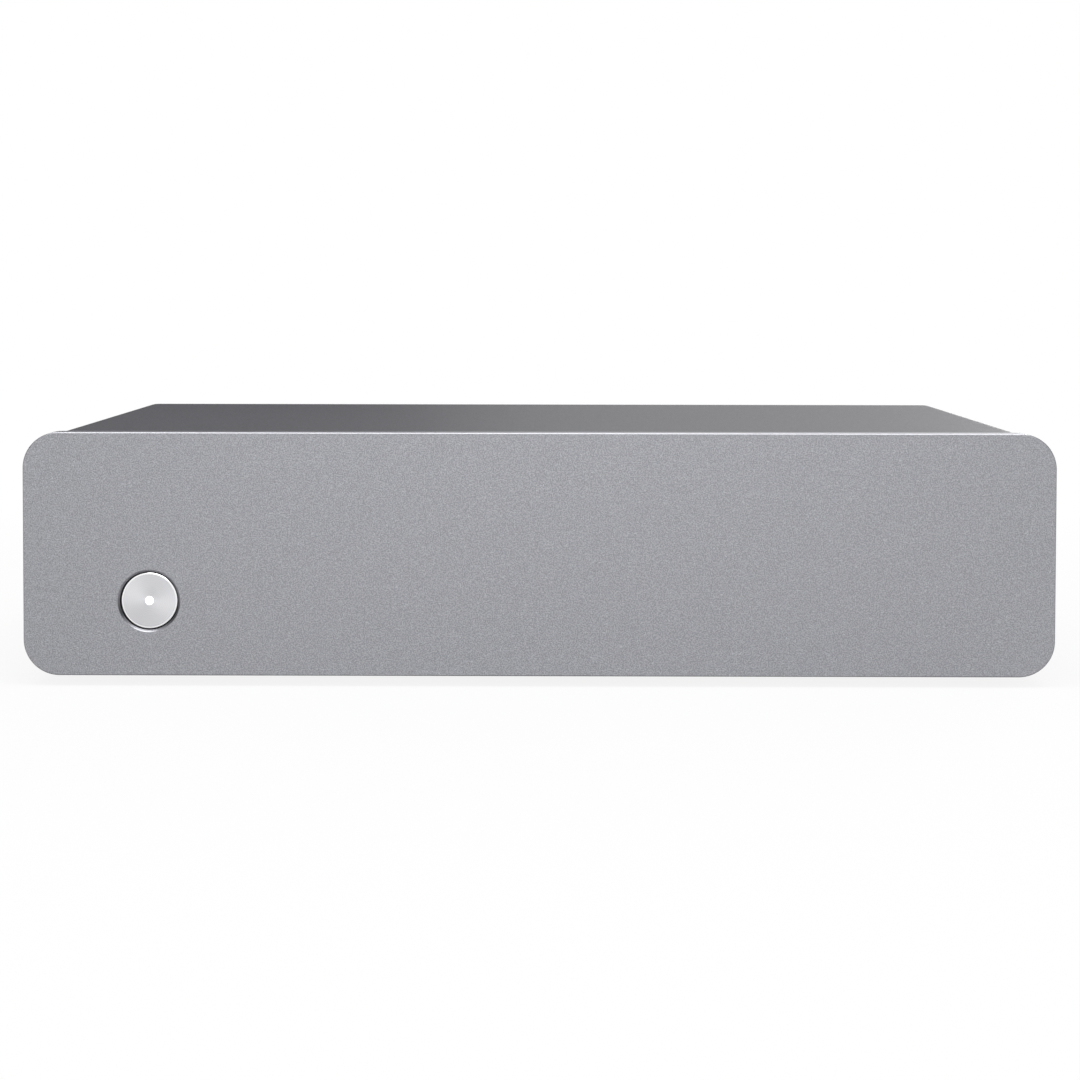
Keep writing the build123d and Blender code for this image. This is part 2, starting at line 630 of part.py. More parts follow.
with BuildPart() as mains_inlet:
    with BuildSketch(upright(INLET_FACE_Y)):
        with Locations((INLET_X, MID_Z)):
            RectangleRounded(*INLET_FLANGE_SIZE, INLET_CORNER)
        with Locations(*INLET_SCREWS):
            Circle(INLET_EAR_RADIUS)
        make_hull()
    extrude(amount=INLET_FLANGE)
    with BuildSketch(upright(WALL_OUT_Y)):
        with Locations((INLET_X, MID_Z)):
            Rectangle(*INLET_BODY)
    extrude(amount=WALL_OUT_Y - INLET_BACK_Y)
    with BuildSketch(upright(INLET_FACE_Y)) as cavity:
        with Locations((INLET_X, MID_Z)):
            Rectangle(*INLET_CAVITY)
        chamfer(cavity.vertices().group_by(Axis.Y)[-1], CAVITY_BEVEL)
    extrude(amount=INLET_FACE_Y - CAVITY_FLOOR_Y, mode=Mode.SUBTRACT)
    with BuildSketch(upright(CAVITY_FLOOR_Y)):
        with Locations(*[(INLET_X + dx, MID_Z + dz) for dx, dz in BLADES]):
            Rectangle(BLADE_SIZE[0] + 2 * SIDE_CLEARANCE, BLADE_SIZE[1] + 2 * SIDE_CLEARANCE)
    extrude(amount=CAVITY_FLOOR_Y - INLET_BACK_Y, mode=Mode.SUBTRACT)
    with BuildSketch(upright(INLET_FACE_Y)):
        with Locations(*INLET_SCREWS):
            screw_hole(M3_HOLE)
    extrude(amount=INLET_FLANGE, mode=Mode.SUBTRACT)
save(mains_inlet, "mains_inlet")

# Each blade has a shoulder behind the socket. Two turn down into the board and the earth ends in a tab
SHOULDER_SIZE = (3.2, 5.2)
SHOULDER_DEPTH = 1.0
PIN_WIDTH = 1.6
BLADE_EDGE = 0.5
TAB_DEPTH = 8.0
TAB_THICKNESS = 0.8
shoulder_y = INLET_BACK_Y - SHOULDER_DEPTH

with BuildPart() as mains_inlet_blades:
    for dx, dz in BLADES:
        x = INLET_X + dx
        z = MID_Z + dz
        pin_top_z = z + BLADE_SIZE[1] / 2
        with BuildSketch(upright(BLADE_END_Y)):
            with Locations((x, z)):
                Rectangle(*BLADE_SIZE)
        extrude(amount=BLADE_END_Y - INLET_BACK_Y)
        with BuildSketch(upright(INLET_BACK_Y)):
            with Locations((x, z)):
                Rectangle(*SHOULDER_SIZE)
        extrude(amount=SHOULDER_DEPTH)
        if dx:
            with BuildSketch(upright(shoulder_y)):
                with Locations((x, pin_top_z)):
                    Rectangle(
                        BLADE_SIZE[0], pin_top_z - BOARD_TOP_Z, align=(Align.CENTER, Align.MAX)
                    )
            extrude(amount=PIN_WIDTH)
        else:
            with BuildSketch(upright(shoulder_y)):
                with Locations((x, z)):
                    Rectangle(TAB_THICKNESS, BLADE_SIZE[1])
            extrude(amount=TAB_DEPTH)
    tips = mains_inlet_blades.faces().group_by(Axis.Y)[-1].edges()
    chamfer(tips, BLADE_EDGE)
save(mains_inlet_blades, "mains_inlet_blades")

with BuildPart() as mains_inlet_screws:
    with Locations(*[facing_back(x, INLET_FACE_Y, z) for x, z in INLET_SCREWS]):
        add(pan_screw(M3_RADIUS, INLET_FLANGE + SHEET + INLET_SCREW_TIP, M3_HEAD))
save(mains_inlet_screws, "mains_inlet_screws")

with BuildPart() as mains_inlet_nuts:
    with Locations(*[facing_front(x, WALL_IN_Y, z) for x, z in INLET_SCREWS]):
        add(hex_nut(*M3_NUT, M3_TAPPED))
save(mains_inlet_nuts, "mains_inlet_nuts")

# Protective earth: a crimped lead from the inlet's tab to a ring on the chassis stud
LEAD_RADIUS = 1.1
RING_RADIUS = 3.6
RING_THICKNESS = 0.8
SLEEVE_SIZE = (3.4, 6.2)
SLEEVE_LENGTH = 10.0
BARREL_Z = BASE_TOP_Z + 2.0
BARREL_LENGTH = 5.0
BARREL_WIDTH = 3.6
BARREL_OVERLAP = 0.6
STUD_LENGTH = 8.0
sleeve_y = shoulder_y - 0.4
slot_depth = TAB_DEPTH - 0.2
earth_z = MID_Z + BLADES[2][1]
stud_x, stud_y = EARTH_STUD
barrel_y = stud_y - RING_RADIUS - BARREL_LENGTH

with BuildPart() as earth_lead:
    with BuildSketch(upright(sleeve_y)):
        with Locations((INLET_X, earth_z)):
            Rectangle(*SLEEVE_SIZE)
    extrude(amount=SLEEVE_LENGTH)
    with BuildSketch(upright(sleeve_y)):
        with Locations((INLET_X, earth_z)):
            Rectangle(TAB_THICKNESS + 2 * SIDE_CLEARANCE, BLADE_SIZE[1] + 2 * SIDE_CLEARANCE)
    extrude(amount=slot_depth, mode=Mode.SUBTRACT)
    with BuildLine():
        route = Polyline(
            (INLET_X, sleeve_y - SLEEVE_LENGTH, earth_z),
            (INLET_X, sleeve_y - SLEEVE_LENGTH - 3.0, earth_z),
            (INLET_X - 3.0, sleeve_y - SLEEVE_LENGTH - 5.0, earth_z - 1.0),
            (stud_x + 5.0, barrel_y - 4.0, earth_z - 5.0),
            (stud_x + 1.5, barrel_y - 4.0, earth_z - 7.5),
            (stud_x, barrel_y - 4.0, earth_z - 11.5),
            (stud_x, barrel_y - 4.0, BARREL_Z + 3.5),
            (stud_x, barrel_y - 3.0, BARREL_Z + 1.0),
            (stud_x, barrel_y - 1.0, BARREL_Z),
            (stud_x, barrel_y + 1.0, BARREL_Z),
        )
    with BuildSketch(Plane(origin=route @ 0, z_dir=route % 0)):
        screw_hole(LEAD_RADIUS)
    sweep(path=route, transition=Transition.RIGHT)
    with BuildSketch(upright(stud_y - RING_RADIUS + BARREL_OVERLAP)):
        with Locations((stud_x, BARREL_Z)):
            Rectangle(BARREL_WIDTH, 2 * (BARREL_Z - BASE_TOP_Z))
    extrude(amount=BARREL_LENGTH + BARREL_OVERLAP)
    with BuildSketch(Plane.XY.offset(BASE_TOP_Z)):
        with Locations(EARTH_STUD):
            small_disc(RING_RADIUS)
    extrude(amount=RING_THICKNESS)
    with BuildSketch(Plane.XY.offset(BASE_TOP_Z)):
        with Locations(EARTH_STUD):
            screw_hole(M3_HOLE)
    extrude(amount=RING_THICKNESS, mode=Mode.SUBTRACT)
save(earth_lead, "earth_lead")

with BuildPart() as earth_stud:
    with BuildSketch(Plane.XY.offset(BASE_Z)):
        with Locations(EARTH_STUD):
            screw_hole(M3_RADIUS)
    extrude(amount=STUD_LENGTH)
save(earth_stud, "earth_stud")

with BuildPart() as earth_nut:
    with Locations(Location((stud_x, stud_y, BASE_TOP_Z + RING_THICKNESS))):
        add(hex_nut(*M3_NUT, M3_TAPPED))
save(earth_nut, "earth_nut")


# Signal sockets: two stacked pairs, each in a block that stands on the board behind the rear wall
BLOCK_HOLE_DEPTH = 8.0
BLOCK_SCREW_GRIP = 6.5
block_top_z = UPPER_JACK_Z + JACK_BLOCK_WIDTH / 2

with BuildPart() as jack_blocks:
    with BuildSketch(upright(WALL_IN_Y)):
        with Locations((OUTPUT_X, BOARD_TOP_Z), (INPUT_X, BOARD_TOP_Z)):
            Rectangle(JACK_BLOCK_WIDTH, block_top_z - BOARD_TOP_Z, align=(Align.CENTER, Align.MIN))
    extrude(amount=JACK_BLOCK_DEPTH)
    with BuildSketch(upright(JACK_BOSS_END_Y)):
        with Locations(*JACKS):
            disc(JACK_BOSS_RADIUS)
    extrude(amount=JACK_BOSS_END_Y - WALL_IN_Y)
    with BuildSketch(upright(JACK_BOSS_END_Y)):
        with Locations(*JACKS):
            small_disc(SHELL_TAIL_RADIUS + SIDE_CLEARANCE)
    extrude(amount=JACK_BOSS_END_Y - SHELL_FLOOR_Y, mode=Mode.SUBTRACT)
    with BuildSketch(upright(WALL_IN_Y)):
        with Locations(*JACK_BLOCK_SCREWS):
            screw_hole(SMALL_SCREW_HOLE)
    extrude(amount=BLOCK_HOLE_DEPTH, mode=Mode.SUBTRACT)
save(jack_blocks, "jack_blocks")

with BuildPart() as jack_shells:
    with BuildSketch(upright(SHELL_END_Y)):
        with Locations(*JACKS):
            Circle(SHELL_RADIUS)
    extrude(amount=SHELL_END_Y - JACK_BOSS_END_Y)
    with BuildSketch(upright(JACK_BOSS_END_Y)):
        with Locations(*JACKS):
            small_disc(SHELL_TAIL_RADIUS)
    extrude(amount=JACK_BOSS_END_Y - SHELL_FLOOR_Y)
    with BuildSketch(upright(SHELL_END_Y)):
        with Locations(*JACKS):
            disc(SHELL_RADIUS - SHELL_WALL)
    extrude(amount=SHELL_END_Y - SHELL_FLOOR_Y, mode=Mode.SUBTRACT)
save(jack_shells, "jack_shells")

INSERT_RECESS = 0.5
for name, z in (("left_jack_inserts", UPPER_JACK_Z), ("right_jack_inserts", LOWER_JACK_Z)):
    with BuildPart() as insert:
        with BuildSketch(upright(SHELL_END_Y - INSERT_RECESS)):
            with Locations((OUTPUT_X, z), (INPUT_X, z)):
                disc(SHELL_RADIUS - SHELL_WALL - SIDE_CLEARANCE)
                small_disc(CONTACT_RADIUS + SIDE_CLEARANCE, mode=Mode.SUBTRACT)
        extrude(amount=SHELL_END_Y - INSERT_RECESS - SHELL_FLOOR_Y)
    save(insert, name)

CONTACT_BORE_DEPTH = 12.0
CONTACT_RECESS = 0.4
contact_end_y = SHELL_END_Y - INSERT_RECESS - CONTACT_RECESS
with BuildPart() as jack_contacts:
    with BuildSketch(upright(contact_end_y)):
        with Locations(*JACKS):
            small_disc(CONTACT_RADIUS)
    extrude(amount=contact_end_y - SHELL_FLOOR_Y)
    with BuildSketch(upright(contact_end_y)):
        with Locations(*JACKS):
            small_disc(CONTACT_BORE)
    extrude(amount=CONTACT_BORE_DEPTH, mode=Mode.SUBTRACT)
save(jack_contacts, "jack_contacts")

with BuildPart() as jack_block_screws:
    with Locations(*[facing_back(x, WALL_OUT_Y, z) for x, z in JACK_BLOCK_SCREWS]):
        add(pan_screw(SMALL_SCREW_RADIUS, SHEET + BLOCK_SCREW_GRIP, SMALL_HEAD))
save(jack_block_screws, "jack_block_screws")


# Balance control: a potentiometer with a threaded bush through the rear wall, and its fluted knob
POT_SIZE = 16.0
POT_DEPTH = 7.5
POT_LEGS = 3
POT_LEG_PITCH = 5.0
POT_LEG_SIZE = (1.0, 0.8)
POT_LEG_Y = WALL_IN_Y - 2.0
WASHER_RADIUS = 6.2
WASHER_THICKNESS = 0.5
BUSH_NUT_FLATS = 10.0
BUSH_NUT_THICKNESS = 2.0
BUSH_CLEARANCE = 0.1
SHAFT_START_Y = WALL_IN_Y - POT_DEPTH + 2.0
SHAFT_END_Y = WALL_OUT_Y + 9.6
KNOB_START_Y = BALANCE_BUSH_END_Y + 0.4
KNOB_END_Y = KNOB_START_Y + 6.8
KNOB_NOTCH = 0.7
KNOB_EDGE = 0.4
FLAT_HEIGHT = 1.5
FLAT_CUT = 4.0
SHAFT_ROOM = 0.07
SHAFT_END_ROOM = 0.3
POINTER_WIDTH = 1.0
POINTER_DEPTH = 0.4
BALANCE_PLACE = (BALANCE_X, MID_Z)
pot_bottom_z = MID_Z - POT_SIZE / 2
bush_nut_y = WALL_OUT_Y + WASHER_THICKNESS + BUSH_NUT_THICKNESS

with BuildPart() as balance_control:
    with BuildSketch(upright(WALL_IN_Y)):
        with Locations(BALANCE_PLACE):
            Rectangle(POT_SIZE, POT_SIZE)
    extrude(amount=POT_DEPTH)
    with BuildSketch(upright(BALANCE_BUSH_END_Y)):
        with Locations(BALANCE_PLACE):
            disc(BALANCE_BUSH_RADIUS)
    extrude(amount=BALANCE_BUSH_END_Y - WALL_IN_Y)
    with BuildSketch(upright(BALANCE_BUSH_END_Y)):
        with Locations(BALANCE_PLACE):
            disc(BALANCE_SHAFT_RADIUS + SHAFT_ROOM)
    extrude(amount=BALANCE_BUSH_END_Y - SHAFT_START_Y + SHAFT_END_ROOM, mode=Mode.SUBTRACT)
    with BuildSketch(upright(POT_LEG_Y)):
        with Locations((BALANCE_X, pot_bottom_z)):
            with GridLocations(POT_LEG_PITCH, 0, POT_LEGS, 1):
                Rectangle(
                    POT_LEG_SIZE[0], pot_bottom_z - BOARD_TOP_Z, align=(Align.CENTER, Align.MAX)
                )
    extrude(amount=POT_LEG_SIZE[1])
save(balance_control, "balance_control")

with BuildPart() as balance_nut:
    with BuildSketch(upright(bush_nut_y)):
        with Locations(BALANCE_PLACE):
            RegularPolygon(BUSH_NUT_FLATS / 2, 6, major_radius=False)
    extrude(amount=BUSH_NUT_THICKNESS)
    with BuildSketch(upright(WALL_OUT_Y + WASHER_THICKNESS)):
        with Locations(BALANCE_PLACE):
            disc(WASHER_RADIUS)
    extrude(amount=WASHER_THICKNESS)
    with BuildSketch(upright(bush_nut_y)):
        with Locations(BALANCE_PLACE):
            disc(BALANCE_BUSH_RADIUS + BUSH_CLEARANCE)
    extrude(amount=WASHER_THICKNESS + BUSH_NUT_THICKNESS, mode=Mode.SUBTRACT)
save(balance_nut, "balance_nut")

with BuildPart() as balance_shaft:
    with BuildSketch(upright(SHAFT_END_Y)):
        with Locations(BALANCE_PLACE):
            Circle(BALANCE_SHAFT_RADIUS)
    extrude(amount=SHAFT_END_Y - SHAFT_START_Y)
    with BuildSketch(upright(SHAFT_END_Y)):
        with Locations((BALANCE_X, MID_Z + FLAT_HEIGHT)):
            Rectangle(2 * BALANCE_SHAFT_RADIUS, FLAT_CUT, align=(Align.CENTER, Align.MIN))
    extrude(amount=SHAFT_END_Y - KNOB_START_Y, mode=Mode.SUBTRACT)
save(balance_shaft, "balance_shaft")

with BuildPart() as balance_knob:
    with BuildSketch(upright(KNOB_END_Y)):
        with Locations(BALANCE_PLACE):
            disc(KNOB_RADIUS)
    extrude(amount=KNOB_END_Y - KNOB_START_Y)
    chamfer(balance_knob.faces().sort_by(Axis.Y)[-1].edges(), KNOB_EDGE)
    with BuildSketch(upright(KNOB_END_Y)):
        with Locations(BALANCE_PLACE):
            with PolarLocations(KNOB_RADIUS + KNOB_NOTCH / 3, KNOB_FLUTES):
                RegularPolygon(KNOB_NOTCH, 6)
    extrude(amount=KNOB_END_Y - KNOB_START_Y, mode=Mode.SUBTRACT)
    with BuildSketch(upright(SHAFT_END_Y)):
        with Locations(BALANCE_PLACE):
            disc(BALANCE_SHAFT_RADIUS + SHAFT_ROOM)
        with Locations((BALANCE_X, MID_Z + FLAT_HEIGHT + SIDE_CLEARANCE)):
            Rectangle(
                3 * BALANCE_SHAFT_RADIUS,
                FLAT_CUT,
                align=(Align.CENTER, Align.MIN),
                mode=Mode.SUBTRACT,
            )
    extrude(amount=SHAFT_END_Y - KNOB_START_Y, mode=Mode.SUBTRACT)
    with BuildSketch(upright(KNOB_END_Y)):
        with Locations((BALANCE_X, MID_Z + KNOB_RADIUS / 2)):
            Rectangle(POINTER_WIDTH, KNOB_RADIUS / 2)
    extrude(amount=POINTER_DEPTH, mode=Mode.SUBTRACT)
save(balance_knob, "balance_knob")


# Ground terminal: a fixed stud with a captive washer and a thumb nut that clamp a lead's fork
JOINT_GAP = 0.05
GROUND_STUD_INSIDE = 6.0
GROUND_BASE_FLATS = 9.0
GROUND_INNER_NUT = (7.0, 3.0)
INNER_NUT_ROOM = 0.2
GROUND_WASHER = (4.4, 0.8)
NUT_COLLAR = (3.6, 1.2)
NUT_HEAD = (5.0, 4.2)
NUT_FLUTES = 12
GROUND_PLACE = (GROUND_X, MID_Z)
washer_y = GROUND_BASE_Y + JOINT_GAP
nut_start_y = washer_y + GROUND_WASHER[1] + JOINT_GAP
nut_end_y = nut_start_y + NUT_COLLAR[1] + NUT_HEAD[1]
STUD_END_Y = OVERALL_DEPTH / 2

with BuildPart() as ground_terminal:
    with BuildSketch(upright(STUD_END_Y)):
        with Locations(GROUND_PLACE):
            disc(GROUND_STUD_RADIUS)
    extrude(amount=STUD_END_Y - WALL_IN_Y + GROUND_STUD_INSIDE)
    with BuildSketch(upright(GROUND_BASE_Y)):
        with Locations(GROUND_PLACE):
            RegularPolygon(GROUND_BASE_FLATS / 2, 6, major_radius=False)
    extrude(amount=GROUND_BASE_Y - WALL_OUT_Y)
save(ground_terminal, "ground_terminal")

with BuildPart() as ground_inner_nut:
    with Locations(facing_front(GROUND_X, WALL_IN_Y, MID_Z)):
        add(hex_nut(*GROUND_INNER_NUT, GROUND_STUD_RADIUS + INNER_NUT_ROOM))
save(ground_inner_nut, "ground_inner_nut")

with BuildPart() as ground_washer:
    with BuildSketch(upright(washer_y + GROUND_WASHER[1])):
        with Locations(GROUND_PLACE):
            disc(GROUND_WASHER[0])
            disc(GROUND_STUD_RADIUS + JOINT_GAP, mode=Mode.SUBTRACT)
    extrude(amount=GROUND_WASHER[1])
save(ground_washer, "ground_washer")

with BuildPart() as ground_thumb_nut:
    with BuildSketch(upright(nut_end_y)):
        with Locations(GROUND_PLACE):
            disc(NUT_COLLAR[0])
    extrude(amount=nut_end_y - nut_start_y)
    with BuildSketch(upright(nut_end_y)):
        with Locations(GROUND_PLACE):
            RegularPolygon(NUT_HEAD[0], NUT_FLUTES)
            RegularPolygon(NUT_HEAD[0], NUT_FLUTES, rotation=180 / NUT_FLUTES)
    extrude(amount=NUT_HEAD[1])
    with BuildSketch(upright(nut_end_y)):
        with Locations(GROUND_PLACE):
            Circle(GROUND_STUD_RADIUS + JOINT_GAP)
    extrude(amount=nut_end_y - nut_start_y, mode=Mode.SUBTRACT)
save(ground_thumb_nut, "ground_thumb_nut")


# Power supply on the left of the board: fuse, filter choke, reservoir capacitor and transformer
FUSE_X = -88.0
FUSE_Y = 2.0
FUSE_LENGTH = 20.0
FUSE_RADIUS = 2.5
FUSE_Z = BOARD_TOP_Z + 4.2
CLIP_SPACING = 15.0
CLIP_SIZE = (6.6, 4.0, 7.2)
CLIP_MOUTH = 3.6
FUSE_CLEARANCE = 0.02

with BuildPart() as mains_fuse:
    with BuildSketch(upright(FUSE_Y + FUSE_LENGTH / 2)):
        with Locations((FUSE_X, FUSE_Z)):
            small_disc(FUSE_RADIUS)
    extrude(amount=FUSE_LENGTH)
save(mains_fuse, "mains_fuse")

with BuildPart() as fuse_clips:
    for clip_y in (FUSE_Y - CLIP_SPACING / 2, FUSE_Y + CLIP_SPACING / 2):
        with BuildSketch(upright(clip_y + CLIP_SIZE[1] / 2)):
            with Locations((FUSE_X, BOARD_TOP_Z)):
                Rectangle(CLIP_SIZE[0], CLIP_SIZE[2], align=(Align.CENTER, Align.MIN))
            with Locations((FUSE_X, FUSE_Z)):
                Rectangle(
                    CLIP_MOUTH, CLIP_SIZE[2], align=(Align.CENTER, Align.MIN), mode=Mode.SUBTRACT
                )
                small_disc(FUSE_RADIUS + FUSE_CLEARANCE, mode=Mode.SUBTRACT)
        extrude(amount=CLIP_SIZE[1])
save(fuse_clips, "fuse_clips")


CHOKE_PLACE = (-66.0, 8.0)
CHOKE_CORE = (18.0, 8.0, 16.0)
CHOKE_BOBBIN_RADIUS = 6.0
CHOKE_WINDOW = (12.6, 10.0)
TRANSFORMER_PLACE = (-56.0, -24.0)
TRANSFORMER_CORE = (26.0, 10.0, 24.0)
TRANSFORMER_BOBBIN_RADIUS = 9.0
TRANSFORMER_WINDOW = (18.8, 16.0)


def wound_core(place, core, bobbin_radius, window):
    """A wound ferrite core on the board: a rectangular frame round a bobbin, on a base of its own."""
    x, y = place
    width, depth, height = core
    base = 1.0
    margin = 1.0
    web = (height - window[1]) / 2
    with BuildPart() as wound:
        with BuildSketch(upright(y + depth / 2)):
            with Locations((x, BOARD_TOP_Z + base)):
                Rectangle(width, height, align=(Align.CENTER, Align.MIN))
            with Locations((x, BOARD_TOP_Z + base + height / 2)):
                Rectangle(*window, mode=Mode.SUBTRACT)
        extrude(amount=depth)
        with BuildSketch(Plane.XY.offset(BOARD_TOP_Z + base + web)):
            with Locations(place):
                disc(bobbin_radius)
        extrude(amount=window[1])
        with BuildSketch(Plane.XY.offset(BOARD_TOP_Z)):
            with Locations(place):
                Rectangle(width - 2 * margin, 2 * bobbin_radius + margin)
        extrude(amount=base + web)
    return wound


filter_choke = wound_core(CHOKE_PLACE, CHOKE_CORE, CHOKE_BOBBIN_RADIUS, CHOKE_WINDOW)
save(filter_choke, "filter_choke")
power_transformer = wound_core(
    TRANSFORMER_PLACE, TRANSFORMER_CORE, TRANSFORMER_BOBBIN_RADIUS, TRANSFORMER_WINDOW
)
save(power_transformer, "power_transformer")


def cans(places, size):
    """Upright cylindrical components that stand on the board, of one radius and height."""
    radius, height = size
    with BuildPart() as group:
        with BuildSketch(Plane.XY.offset(BOARD_TOP_Z)):
            with Locations(*places):
                small_disc(radius)
        extrude(amount=height)
    return group


def blocks(places, size):
    """Rectangular components that stand on the board, of one width, depth and height."""
    width, depth, height = size
    with BuildPart() as group:
        with BuildSketch(Plane.XY.offset(BOARD_TOP_Z)):
            with Locations(*places):
                Rectangle(width, depth)
        extrude(amount=height)
    return group


SUPPLY_CAPACITORS = [(x, y) for x in (-30.0, -16.0) for y in (-34.0, -20.0)]
COUPLING_CAPACITORS = [(x, y) for x in (28.0, 40.0, 52.0) for y in (-40.0, 24.0)]
FILM_CAPACITORS = [(x, y) for x in (26.0, 38.0) for y in (-26.0, -14.0, -2.0, 10.0)]
OUTPUT_RELAYS = [(22.0, 44.0), (54.0, 44.0)]
RESERVOIR_PLACES = [(-84.0, -24.0)]
RESERVOIR_SIZE = (8.0, 25.0)
SUPPLY_SIZE = (5.0, 16.0)
COUPLING_SIZE = (3.15, 11.0)
FILM_SIZE = (7.2, 3.5, 8.0)
RELAY_SIZE = (10.0, 15.0, 10.0)
save(cans(RESERVOIR_PLACES, RESERVOIR_SIZE), "reservoir_capacitor")
save(cans(SUPPLY_CAPACITORS, SUPPLY_SIZE), "supply_capacitors")
save(cans(COUPLING_CAPACITORS, COUPLING_SIZE), "coupling_capacitors")
save(blocks(FILM_CAPACITORS, FILM_SIZE), "film_capacitors")
save(blocks(OUTPUT_RELAYS, RELAY_SIZE), "output_relays")

# Voltage regulators stand on their legs against a finned heat sink
SINK_X = -22.0
SINK_Y = 8.0
SINK_SIZE = (34.0, 3.0, 24.0)
FIN_COUNT = 8
FIN_SIZE = (1.4, 9.0)
REGULATOR_X = (SINK_X - 9.0, SINK_X + 9.0)
REGULATOR_WIDTH = 10.0
REGULATOR_LIFT = 4.0
TAB_SIZE = (15.5, 1.3)
BODY_SIZE = (9.0, 3.2)
LEG_PITCH = 2.54
LEG_SIZE = (0.9, 0.6)
LEG_INSET = 2.4
sink_face_y = SINK_Y - SINK_SIZE[1] / 2

with BuildPart() as heat_sink:
    with BuildSketch(Plane.XY.offset(BOARD_TOP_Z)):
        with Locations((SINK_X, SINK_Y)):
            Rectangle(SINK_SIZE[0], SINK_SIZE[1])
        with Locations((SINK_X, SINK_Y + FIN_SIZE[1] / 2)):
            with GridLocations((SINK_SIZE[0] - FIN_SIZE[0]) / (FIN_COUNT - 1), 0, FIN_COUNT, 1):
                Rectangle(FIN_SIZE[0], FIN_SIZE[1] + SINK_SIZE[1])
    extrude(amount=SINK_SIZE[2])
save(heat_sink, "heat_sink")

with BuildPart() as voltage_regulators:
    for x in REGULATOR_X:
        with BuildSketch(upright(sink_face_y)):
            with Locations((x, BOARD_TOP_Z + REGULATOR_LIFT)):
                Rectangle(REGULATOR_WIDTH, TAB_SIZE[0], align=(Align.CENTER, Align.MIN))
        extrude(amount=TAB_SIZE[1])
        with BuildSketch(upright(sink_face_y - TAB_SIZE[1])):
            with Locations((x, BOARD_TOP_Z + REGULATOR_LIFT)):
                Rectangle(REGULATOR_WIDTH, BODY_SIZE[0], align=(Align.CENTER, Align.MIN))
        extrude(amount=BODY_SIZE[1])
        with BuildSketch(upright(sink_face_y - LEG_INSET)):
            with Locations((x, BOARD_TOP_Z)):
                with GridLocations(LEG_PITCH, 0, 3, 1):
                    Rectangle(LEG_SIZE[0], REGULATOR_LIFT, align=(Align.CENTER, Align.MIN))
        extrude(amount=LEG_SIZE[1])
save(voltage_regulators, "voltage_regulators")

# Amplifier chips lie flat on the board under a pressed screening can
CHIP_PLACES = [(x, y) for x in (66.0, 84.0) for y in (-6.0, 16.0)]
CHIP_SIZE = (6.4, 9.6, 3.6)
save(blocks(CHIP_PLACES, CHIP_SIZE), "amplifier_chips")
CAN_PLACE = (75.0, 5.0)
CAN_SIZE = (36.0, 40.0, 16.0)
CAN_WALL = 0.6

with BuildPart() as screening_can:
    with BuildSketch(Plane.XY.offset(BOARD_TOP_Z)):
        with Locations(CAN_PLACE):
            Rectangle(CAN_SIZE[0], CAN_SIZE[1])
    extrude(amount=CAN_SIZE[2])
    with BuildSketch(Plane.XY.offset(BOARD_TOP_Z)):
        with Locations(CAN_PLACE):
            Rectangle(CAN_SIZE[0] - 2 * CAN_WALL, CAN_SIZE[1] - 2 * CAN_WALL)
    extrude(amount=CAN_SIZE[2] - CAN_WALL, mode=Mode.SUBTRACT)
save(screening_can, "screening_can")
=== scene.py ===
"""A slim half-width phono preamplifier with a thick rounded front panel, in a plain white studio.

Lengths of the object and of the camera's place are millimetres until a piece is finished. The floor,
lamps and cards are placed in metres. +X is to the right seen from the front, +Y runs to the back and
+Z is up.
"""
import json
import math

import bmesh
import bpy
from mathutils import Matrix, Vector


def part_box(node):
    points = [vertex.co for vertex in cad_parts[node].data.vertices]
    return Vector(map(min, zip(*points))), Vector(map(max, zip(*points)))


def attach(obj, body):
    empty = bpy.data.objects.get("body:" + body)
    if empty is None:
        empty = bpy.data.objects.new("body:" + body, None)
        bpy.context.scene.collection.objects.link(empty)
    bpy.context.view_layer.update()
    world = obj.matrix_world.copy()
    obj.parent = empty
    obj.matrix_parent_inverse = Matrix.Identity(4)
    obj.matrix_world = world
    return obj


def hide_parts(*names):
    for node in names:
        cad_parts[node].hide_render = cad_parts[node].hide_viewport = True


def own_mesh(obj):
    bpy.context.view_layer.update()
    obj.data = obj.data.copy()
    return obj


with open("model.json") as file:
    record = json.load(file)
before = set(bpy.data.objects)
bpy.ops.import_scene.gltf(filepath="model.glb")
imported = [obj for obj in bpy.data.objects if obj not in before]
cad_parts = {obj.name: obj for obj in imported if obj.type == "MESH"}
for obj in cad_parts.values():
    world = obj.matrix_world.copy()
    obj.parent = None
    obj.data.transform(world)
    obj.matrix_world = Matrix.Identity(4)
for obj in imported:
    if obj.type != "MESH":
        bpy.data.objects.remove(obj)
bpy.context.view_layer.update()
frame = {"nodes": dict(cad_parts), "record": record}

MM = 0.001

# Front panel and cover
PANEL_HALF_WIDTH = 107.5
PANEL_LOW, PANEL_HIGH = 2.2, 53.0
PANEL_CORNER = 7.5
PANEL_EDGE = 0.2
FRONT_Y, PANEL_BACK_Y = -79.0, -74.0
COVER_REAR_Y = 69.0
COVER_INSET = 0.6
SHEET = 1.0
COVER_OPENING_HALF = 86.0
MID_Z = (PANEL_LOW + PANEL_HIGH) / 2
COVER_LOW = PANEL_LOW + COVER_INSET

# Power button
BUTTON_X, BUTTON_Z = -81.3, 17.8
BUTTON_CENTRE = (BUTTON_X, FRONT_Y, BUTTON_Z)
BUTTON_RADIUS, BUTTON_RIM = 5.85, 0.3
HOLE_RADIUS, HOLE_CHAMFER = 6.1, 0.45
COUNTERBORE_RADIUS, COUNTERBORE_DEPTH = 7.2, 1.6
BUTTON_FACE_Y, BUTTON_SKIRT_Y = -78.2, -75.55
LENS_RADIUS = 0.87
ROD_RADIUS = 1.5
ROD_END_Y = -66.3

